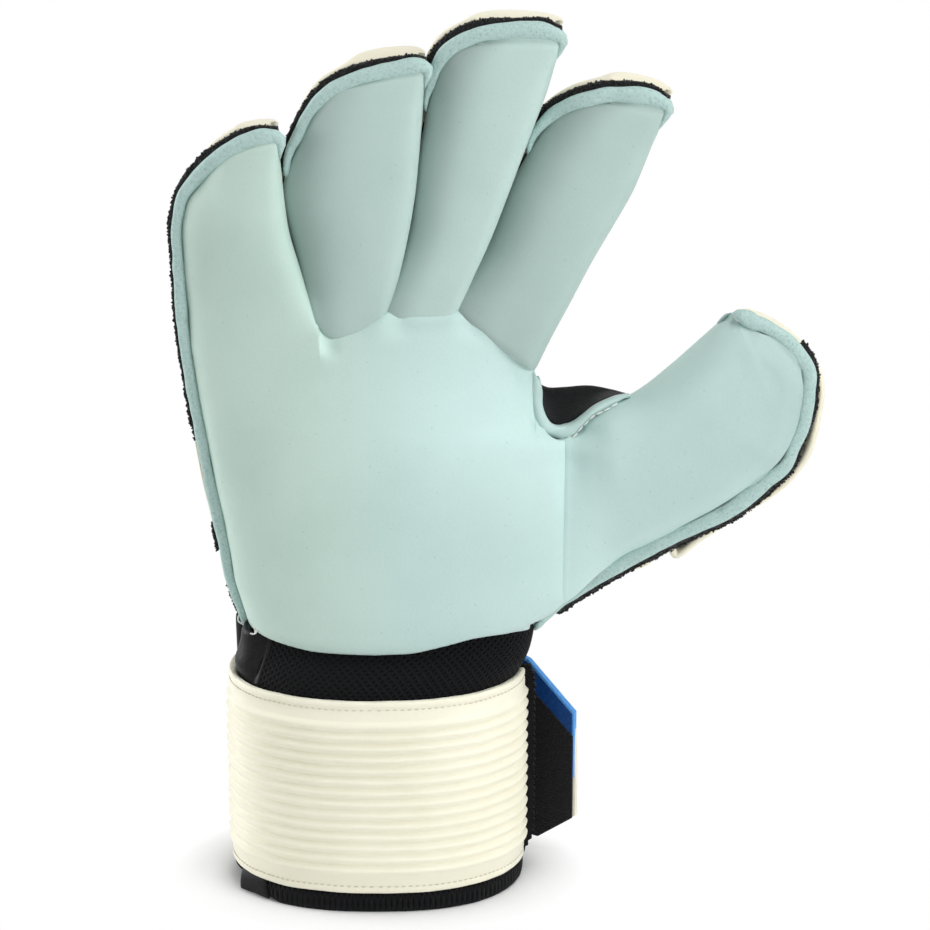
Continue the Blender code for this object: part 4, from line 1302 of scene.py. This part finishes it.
def build_strap(name, first, last):
    """Moulded latex band with horizontal ribs, lower at its hinged end so that it can swing."""
    section = rib_section(0.4)
    count = int(abs(last - first) / 1.5)
    rows = []
    for i in range(count + 1):
        angle = mix(first, last, i / count)
        row = []
        for d, z in section:
            sway = 0.25 * rough(angle / 3, z / 8, 5.0, 7) + 0.08 * rough(angle, z, 6.0, 8)
            crest = max(0.0, d - STRAP_LAYER) / RIB_HEIGHT
            reach = angle + 1.8 * crest * math.copysign(max(0.0, i - count + 1), last - first)
            stand = d - max(0.0, d - STRAP_LAYER) * RIB_FADE * (1 - smooth(i / 5))
            stand += 0.15 * rough(angle, z, 9.0, 3) if d > 1 else 0
            row.append(wrist_point(reach, stand, z + sway))
        rows.append(row)
    bm = bmesh.new()
    sweep(bm, rows, ring=True)
    close_ends(bm)
    return piece(name, bm, STRAP_LATEX, angle=50.0)


def build_stitches(name, spots, look, length, width):
    """Rows of thread stitches: (place, run, out) for each."""
    bm = bmesh.new()
    for place, run, out in spots:
        side = out.cross(run).normalized()
        halves = (run * length / 2, side * width / 2, out.normalized() * width / 2)
        axes = Matrix(halves).transposed().to_4x4()
        axes.translation = place
        bmesh.ops.create_uvsphere(bm, u_segments=8, v_segments=6, radius=MM, matrix=axes)
    return piece(name, bm, look)


def strap_stitch_row(first, last, heights):
    """Places of the strap's stitches, in rows at the given heights."""
    spots = []
    for z in heights:
        count = int(abs(last - first) / STITCH_STEP)
        for i in range(count):
            angle = mix(first, last, (i + 0.5) / count)
            place = wrist_point(angle, STRAP_LAYER - 0.1, z + 0.25 * rough(angle / 3, z / 8, 5.0, 7))
            run = (wrist_point(angle + 0.5, 0, 0) - wrist_point(angle - 0.5, 0, 0)).normalized()
            spots.append((place, run, run.cross(Vector((0, 0, 1)))))
    return spots


def build_band(name, first, last, section, look, uneven=0.0, seed=0):
    """A short closed strip swept round the wrist."""
    count = max(6, int(abs(last - first) / 1.0))
    rows = []
    for i in range(count + 1):
        angle = mix(first, last, i / count)
        rows.append([wrist_point(angle + uneven * rough(z, d, 1.3, seed), d, z) for d, z in section])
    bm = bmesh.new()
    grown = sweep(bm, rows, ring=True)
    close_ends(bm)
    lay_map(bm, grown)
    return piece(name, bm, look, angle=50.0)


def build_binding():
    """Overlocked end of the strap: a fuzzy black seam standing on edge."""
    section = []
    steps = 80
    for i in range(steps + 1):
        z = mix(STRAP_BOTTOM + 0.5, STRAP_TOP + 0.6, i / steps)
        stand = 3.0 + 3.0 * smooth((z - STRAP_BOTTOM) / 9.0) * (1 - 0.5 * smooth((z - STRAP_TOP + 3.0) / 3.5))
        section.append((stand + 0.5 * math.sin(i * 2.4) + 0.4 * rough(z, 0, 1.5, 5), z))
    section += [(0.4, STRAP_TOP + 0.3), (0.4, STRAP_BOTTOM + 0.6)]
    return build_band("strap_overlock", -4.4, -1.6, section, BINDING, 0.25, 6)


def build_side_patch():
    """Leatherette loop on the little-finger side, folded round the seam's lower end."""
    rows = []
    for i in range(33):
        share = i / 32
        angle = mix(182.0, 217.0, share)
        main = max(0.0, math.sin(math.pi * min(1.0, share / 0.8))) ** 0.5
        fold = math.exp(-(((share - 0.9) / 0.06) ** 2))
        row = []
        for n in range(17):
            z = mix(70.5, 91.5 - 3.5 * share, n / 16)
            full = smooth((z - 70.5) / 9.0) * (1 - 0.5 * smooth((z - 88.0) / 3.5))
            stand = mix(0.2, -1.3, smooth((share - 0.9) / 0.1))
            lift = 4.4 * main * full + 0.6 * fold * smooth((z - 71.0) / 4.0)
            row.append(cuff_point(angle, stand + lift, z))
        rows.append(row)
    tail = []
    for x, y in ((-43.6, 3.2), (-45.4, 2.2), (-46.2, 0.8), (-45.6, -0.8), (-43.8, -2.2)):
        tail.append([at(x + 0.02 * (91.0 - z), y, z) for z in (72.0, 77.0, 82.0, 87.0, 91.0)])
    bm = bmesh.new()
    sweep(bm, rows)
    sweep(bm, tail)
    return wall(piece("side_loop", bm, BLACK_PATCH, Vector((-0.7, -0.6, 0))), 1.1)


def build_pull_tab():
    """Short end of leatherette hanging out below the strap."""
    first, last = at(-45.4, -17.0, 0.5), at(-35.2, -25.2, 0.3)
    rows = []
    for i in range(13):
        share = i / 12
        top = wrist_point(mix(203.0, 222.0, share), 1.4, 9.0)
        bend = wrist_point(mix(203.0, 222.0, share), 4.0, 6.4)
        low = first.lerp(last, share) + Vector((0, 0, 0.4 * MM * abs(rough(share * 10, 0, 1.1, 3))))
        rows.append([top.lerp(bend, n / 6).lerp(bend.lerp(low, n / 6), n / 6) for n in range(7)])
    bm = bmesh.new()
    sweep(bm, rows)
    return wall(piece("pull_tab_end", bm, BLACK_PATCH, Vector((-0.6, -0.8, 0))), 1.2)


def build_threads(name, paths, look, radius):
    """Loose thread ends."""
    bm = bmesh.new()
    for points in paths:
        rows = []
        for i in range(17):
            point = spline(points, i / 16)
            run = (spline(points, (i + 1) / 16) - spline(points, (i - 1) / 16)).normalized()
            side = run.cross(Vector((0.3, 1.0, 0.2))).normalized()
            up = run.cross(side)
            row = []
            for n in range(6):
                t = math.pi * n / 3
                row.append(at(*(point + side * (radius * math.cos(t)) + up * (radius * math.sin(t)))))
            rows.append(row)
        sweep(bm, rows, ring=True)
        close_ends(bm)
    return piece(name, bm, look)


WRIST_CORNERS = 28  # of the solids' wrist, whose flat side the tab lies on

# Outlines of the tab's layers, (along, z)
TAB_HOOK = [(0, 6.6), (23.5, 5.0), (36.2, 14.4), (36.2, 43.8), (21.3, 57.4), (10.0, 67.6), (0, 68.6)]
TAB_COVER = [
    (0, 6.6),
    (24.0, 5.4),
    (37.0, 15.0),
    (37.0, 30.0),
    (36.3, 51.8),
    (19.2, 67.8),
    (8.0, 71.0),
    (0, 71.2),
]
TAB_BACKING = [
    (0, 68.2),
    (9.8, 67.2),
    (36.0, 43.0),
    (36.2, 43.0),
    (36.2, 51.8),
    (19.0, 67.6),
    (8.0, 70.8),
    (0, 71.0),
]
TAB_TRIM = [
    (0, 70.4),
    (7.9, 70.2),
    (18.8, 67.1),
    (35.6, 51.7),
    (35.6, 43.0),
    (36.0, 29.0),
    (36.4, 29.0),
    (36.5, 52.4),
    (19.4, 68.2),
    (8.2, 71.4),
    (0, 71.6),
]


def tab_frame():
    """Place of the closure tab, its run along its length and its way off the wrist."""

    def corner(number):
        return wrist_point(360 * (number + 0.5) / WRIST_CORNERS, 0.0, 0.0)

    count = STRAP_BACK_END * WRIST_CORNERS / 360 - 0.5
    number = math.floor(count)
    run = (corner(number) - corner(number + 1)).normalized()
    start = corner(number).lerp(corner(number + 1), count - number) + run * 0.3 * MM
    return start, run, Vector((-run.y, run.x, 0))


def build_tab():
    """Free end of the strap: hook pile inside, blue-edged cream latex outside."""
    start, run, off = tab_frame()

    def plate(name, outline, near, far, look, bevel):
        bm = bmesh.new()
        corners = []
        for x, z in outline:
            place = start + run * (x * MM) + off * (near * MM) + Vector((0, 0, z * MM))
            corners.append(bm.verts.new(place))
        grown = bmesh.ops.extrude_face_region(bm, geom=[bm.faces.new(corners)])["geom"]
        moved = [v for v in grown if isinstance(v, bmesh.types.BMVert)]
        bmesh.ops.translate(bm, verts=moved, vec=off * ((far - near) * MM))
        rounding = {"affect": "EDGES", "segments": 2, "profile": 0.5, "material": -1}
        bmesh.ops.bevel(bm, geom=bm.edges, offset=bevel * MM, **rounding)
        return piece(name, bm, look, angle=50.0)

    return {
        "tab_hook": plate("tab_hook_pile", TAB_HOOK, 1.6, 2.7, HOOK_PILE, 0.3),
        "tab_cover": plate("tab_latex_cover", TAB_COVER, 3.1, 4.6, STRAP_LATEX, 0.4),
        "tab_trim": plate("tab_blue_edge", TAB_TRIM, 2.2, 4.2, BRIGHT_BLUE, 0.2),
        # The backing's darker blue is painted shade.
        "": plate("tab_shaded_blue_backing", TAB_BACKING, 2.3, 3.0, SHADED_BLUE, 0.15),
    }


# Assembly


def ride(made, body, slot, *nodes):
    if nodes:
        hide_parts(*nodes)
    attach(made, body)
    return made


def bend(made, body, start, end, slot, *nodes):
    if nodes:
        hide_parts(*nodes)
    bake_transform(made)
    return made


# Share of the terry that shows at a finger's far corner
CORNERS = {"little": 0.6, "ring": 0.3, "middle": 1.0, "index": 1.0}
# Rolls: sag of the root, its form, squareness of the right side, painted light level, painted shade of the
# left flank
ROLLS = {
    "ring": (4.2, LIP, 3.4, 0.93, 0.86),
    "middle": (0.4, LIP, 3.4, 1.02, 0.62),
    "index": (0.0, CREASE, 2.6, 0.90, 0.70),
}
# Backs: width of the raw edge that they pass at the tip, nose over the tip, quilted knuckles up the finger
BACKS = {
    "little": (4.1, 1.6, (0.4, 0.7)),
    "ring": (3.8, 4.6, (0.3, 0.62)),
    "middle": (4.4, 4.6, (0.3, 0.62)),
    "index": (4.2, 4.6, (0.3, 0.62)),
}
THUMB_KNUCKLES = (0.35, 0.62)
DIGITS = {"little": LITTLE, "ring": RING, "middle": MIDDLE, "index": INDEX, "thumb": THUMB}
# Two points (x, y, z) near each digit's root, meant as the start and end of its bend
BENDS = {
    "little": ((-42.0, 0.0, 187.0), (-42.0, 0.0, 208.0)),
    "ring": ((-7.0, 0.0, 184.0), (-3.6, 0.0, 206.0)),
    "middle": ((15.0, 0.0, 187.5), (20.5, 0.0, 208.0)),
    "index": ((39.0, 0.0, 180.0), (46.5, 0.0, 200.5)),
    "thumb": ((58.0, 0.0, 125.0), (82.0, 0.0, 125.0)),
}


def dress_front():
    palm = build_palm()
    bend(palm, "little_finger", *BENDS["little"], "palm_latex", "palm_panel", "little_roll")
    for name, form in ROLLS.items():
        roll = build_roll(f"{name}_roll_skin", DIGITS[name], *form)
        bend(roll, f"{name}_finger", *BENDS[name], "palm_latex", f"{name}_roll")
    thumb = build_thumb_roll()
    bend(thumb, "thumb", *BENDS["thumb"], "palm_latex", "thumb_roll")


def dress_seams():
    for seed, (name, points) in enumerate(EDGES.items()):
        body = "thumb" if name == "thumb" else f"{name}_finger"
        edge = build_edge(f"{name}_raw_edge", points, seed * 11.0)
        bend(edge, body, *BENDS[name], "palm_latex")
        lefts, rights = seam_sides(DIGITS[name])
        shown = []
        for i, (x, z, width, lean) in enumerate(points):
            if name == "thumb":
                show = 1.1 + 1.4 * smooth((150.0 - z) / 12.0)
            else:
                show = TERRY_SHOW * (0.5 if lean > 7.3 else 0.6 if lean < 1.5 else 0.85)
                show *= CORNERS[name] if i > len(points) - 5 else 1.0
            shown.append((x, z, width + show, lean))
        corner = [tuple(Vector(shown[-3]).lerp(Vector(shown[-2]), 0.3))]
        if name == "thumb":
            begin = Vector(shown[6]).lerp(Vector(shown[7]), 0.6)
            strips = [[tuple(begin), *shown[7:-1]], [(*p[0], -1.6, 0.0) for p in THUMB[:-4]]]
            nodes = ("thumb_seam_mesh", "heel_seam_mesh")
        elif name == "little":
            side = [(x, z, width - 1.4, lean) for x, z, width, lean in points[1:12]]
            foot = [(x, z, show - 0.3, lean) for x, z, show, lean in shown[1:4]]
            strips = [side, foot, shown[4:6], shown[7:-2] + corner, rights]
            nodes = ("little_seam_mesh", "outer_seam_mesh")
        else:
            strips = [shown[(name != "ring"):-2] + corner, lefts, rights]
            nodes = (f"{name}_seam_mesh",)
        terry = build_terry(f"{name}_terry_edge", strips, seed + 1)
        bend(terry, body, *BENDS[name], "black_mesh", *nodes)


def dress_backs():
    for name, (edge, nose, knuckles) in BACKS.items():
        rear = finger_rear(DIGITS[name], edge, name == "little")
        form = (FINGER_BACK, FINGER_BACK, knuckles, rear_lean, nose)
        back = build_back(f"{name}_back_skin", rear, *form)
        bend(back, f"{name}_finger", *BENDS[name], "back_latex", f"{name}_back")
    form = (THUMB_ROOT_BACK, THUMB_BACK, THUMB_KNUCKLES, thumb_lean, 1.0)
    back = build_back("thumb_back_skin", THUMB_REAR, *form)
    bend(back, "thumb", *BENDS["thumb"], "back_latex", "thumb_back")
    backhand = build_backhand()
    ride(backhand, "hand", "back_latex", "backhand_panel")


def dress_crotch():
    bend(build_rim(), "thumb", *BENDS["thumb"], "palm_latex")
    bend(build_web(), "thumb", *BENDS["thumb"], "black_mesh", "thumb_gusset", "crotch_seam_mesh")
    spots = []
    seam = evenly(RIM_SEAM, 41)
    for k in range(24, 38, 2):
        run = (seam[k + 1] - seam[k - 1]).normalized()
        place = at(seam[k].x, -7.4 + 0.06 * (k - 24), seam[k].y)
        spots.append((place, Vector((run.x, 0, run.y)), Vector((0, -1, 0))))
    stitches = build_stitches("crotch_stitches", spots, THREAD, 2.6, 0.6)
    bend(stitches, "thumb", *BENDS["thumb"], "palm_latex")


# Loose ends of thread, (x, y, z)
SEAM_THREADS = [
    [(-43.4, -2.6, 92.0), (-44.6, -4.2, 91.4), (-44.6, -5.2, 90.2), (-43.2, -6.0, 89.4)],
    [
        (-40.4, -9.0, 91.4),
        (-38.6, -12.4, 91.2),
        (-37.9, -13.6, 90.2),
        (-38.9, -13.8, 89.0),
        (-40.2, -13.0, 88.8),
    ],
    [(-40.0, -9.4, 90.6), (-38.8, -12.6, 90.2), (-38.6, -13.6, 89.4)],
]
THUMB_THREADS = [
    [(113.2, -4.6, 192.6), (113.8, -5.6, 191.6), (114.4, -5.8, 190.8), (114.9, -5.4, 190.2)],
    [(113.0, -4.4, 191.8), (113.9, -5.8, 191.0), (114.1, -5.6, 190.0)],
]


def dress_threads():
    ends = build_threads("seam_end_threads", SEAM_THREADS, THREAD, 0.28)
    ride(ends, "hand", "palm_latex")
    tufts = build_threads("thumb_tip_threads", THUMB_THREADS, THREAD, 0.3)
    bend(tufts, "thumb", *BENDS["thumb"], "palm_latex")


def dress_wrist():
    cuff = build_cuff()
    ride(cuff, "hand", "black_knit", "wrist_cuff")
    ride(build_hem(), "hand", "black_knit", "cuff_hem")
    ride(build_side_patch(), "hand", "black_leatherette", "side_patch")
    ride(build_pull_tab(), "hand", "black_leatherette", "pull_tab")
    front = build_strap("strap_front_band", STRAP_LEFT_END + 0.3, STRAP_RIGHT_END)
    ride(front, "hand", "strap_latex", "strap_front")
    rear = build_strap("strap_back_band", STRAP_LEFT_END - 0.3, STRAP_BACK_END)
    ride(rear, "strap_end", "strap_latex", "strap_back")
    rows = (STRAP_BOTTOM + STITCH_INSET, STRAP_TOP - STITCH_INSET)
    spots = strap_stitch_row(STRAP_LEFT_END + 1, STRAP_RIGHT_END - 1, rows)
    stitches = build_stitches("strap_front_stitches", spots, PALE_THREAD, 1.5, 0.5)
    ride(stitches, "hand", "strap_latex")
    spots = strap_stitch_row(STRAP_LEFT_END - 1, STRAP_BACK_END + 1, rows)
    stitches = build_stitches("strap_back_stitches", spots, PALE_THREAD, 1.5, 0.5)
    ride(stitches, "strap_end", "strap_latex")
    ride(build_binding(), "hand", "black_knit", "strap_binding")
    loop = [(0.3, 13.0), (1.2, 13.0), (1.2, 67.4), (0.3, 67.4)]
    ride(build_band("loop_pile", 0.5, 47.0, loop, HOOK_PILE), "hand", "hook_felt", "loop_patch")
    slots = {
        "tab_hook": "hook_felt",
        "tab_cover": "strap_latex",
        "tab_trim": "blue_trim",
        "": "blue_trim",
    }
    for node, made in build_tab().items():
        ride(made, "closure_tab", slots[node], *([node] if node else []))


# Stage, light and camera

SHADOW_REACH = (0.046, 0.068)  # metres from the cuff's middle, where the shadow fades to white
WORLD_LIGHT = 0.18
LIGHT_AIM = (0.0, 0.0, 0.15)
# Softboxes: place and width in metres, power in watts
LAMPS = {
    "key_softbox": ((1.1, -0.8, 0.6), 0.7, 9.7),
    "top_softbox": ((0.2, -0.35, 1.6), 0.7, 9.6),
    "left_side_softbox": ((-1.35, -0.15, 0.45), 0.7, 2.9),
    "left_rear_softbox": ((-1.35, 0.45, 0.35), 0.7, 8.9),
    "front_softbox": ((0.0, -1.6, 0.5), 0.7, 1.6),
    "rear_softbox": ((0.3, 1.4, 0.8), 0.9, 3.5),
}
CAMERA_LENS = 120.97
CAMERA_LIFT = 18.0  # degrees above level, a metre away
CAMERA_AIM = (28.7, 0.0, 141.5)


def seen_directly(tree):
    """1 where the camera looks, straight or by a reflection, and 0 for light on its way to the glove."""
    ray = add(tree, "ShaderNodeLightPath").outputs
    either = {0: ray["Is Camera Ray"], 1: ray["Is Glossy Ray"]}
    return add(tree, "ShaderNodeMath", either, operation="MAXIMUM").outputs[0]


def build_stage():
    """Paper floor: it takes the glove's shadow round the cuff, and is plain white farther off."""
    bm = bmesh.new()
    bmesh.ops.create_grid(bm, x_segments=2, y_segments=2, size=6.0)
    made, tree, shader = finish("white_paper", Roughness=0.9)
    shader.inputs["Base Color"].default_value = colour("F7F7F7")
    place = add(tree, "ShaderNodeTexCoord").outputs["Object"]
    off = add(tree, "ShaderNodeVectorMath", {0: place, 1: (CUFF_X, 0.0, 0.0)}, operation="SUBTRACT")
    oval = add(tree, "ShaderNodeVectorMath", {0: off.outputs[0], 1: (1.0, 1.36, 1.0)}, operation="MULTIPLY")
    away = add(tree, "ShaderNodeVectorMath", {0: oval.outputs[0]}, operation="LENGTH").outputs["Value"]
    span = {"Value": away, "From Min": SHADOW_REACH[0], "From Max": SHADOW_REACH[1]}
    fade = add(tree, "ShaderNodeMapRange", span, clamp=True).outputs["Result"]
    share = add(tree, "ShaderNodeMath", {0: fade, 1: seen_directly(tree)}, operation="MULTIPLY").outputs[0]
    white = add(tree, "ShaderNodeEmission", {"Color": (1, 1, 1, 1), "Strength": 1.0}).outputs[0]
    both = add(tree, "ShaderNodeMixShader", {0: share, 1: shader.outputs[0], 2: white})
    tree.links.new(both.outputs[0], tree.nodes["Material Output"].inputs["Surface"])
    floor = piece("paper_floor", bm, made, Vector((0, 0, 1)))


def lamp(name, place, size, power):
    data = bpy.data.lights.new(name, "AREA")
    data.shape = "DISK"
    data.size = size
    data.energy = power
    made = bpy.data.objects.new(name, data)
    bpy.context.scene.collection.objects.link(made)
    made.location = place
    made.rotation_euler = (Vector(LIGHT_AIM) - Vector(place)).to_track_quat("-Z", "Y").to_euler()


def build_light():
    world = bpy.data.worlds.new("studio")
    bpy.context.scene.world = world
    world.use_nodes = True
    tree = world.node_tree
    back = tree.nodes["Background"]
    back.inputs["Color"].default_value = (1.0, 1.0, 1.0, 1.0)
    span = {"Value": seen_directly(tree), "To Min": WORLD_LIGHT, "To Max": 1.0}
    level = add(tree, "ShaderNodeMapRange", span)
    tree.links.new(level.outputs["Result"], back.inputs["Strength"])
    for name, form in LAMPS.items():
        lamp(name, *form)


def build_camera():
    """Long lens, a little above the glove, square to the palm."""
    data = bpy.data.cameras.new("camera")
    data.lens = CAMERA_LENS
    data.sensor_width = 36.0
    made = bpy.data.objects.new("camera", data)
    bpy.context.scene.collection.objects.link(made)
    lift = math.radians(CAMERA_LIFT)
    target = at(*CAMERA_AIM)
    made.location = target + Vector((0, -math.cos(lift), math.sin(lift)))
    made.rotation_euler = (target - made.location).to_track_quat("-Z", "Y").to_euler()
    bpy.context.scene.camera = made


dress_front()
dress_seams()
dress_backs()
dress_crotch()
dress_threads()
dress_wrist()
build_stage()
build_light()
build_camera()
bpy.context.scene.view_settings.view_transform = "Standard"
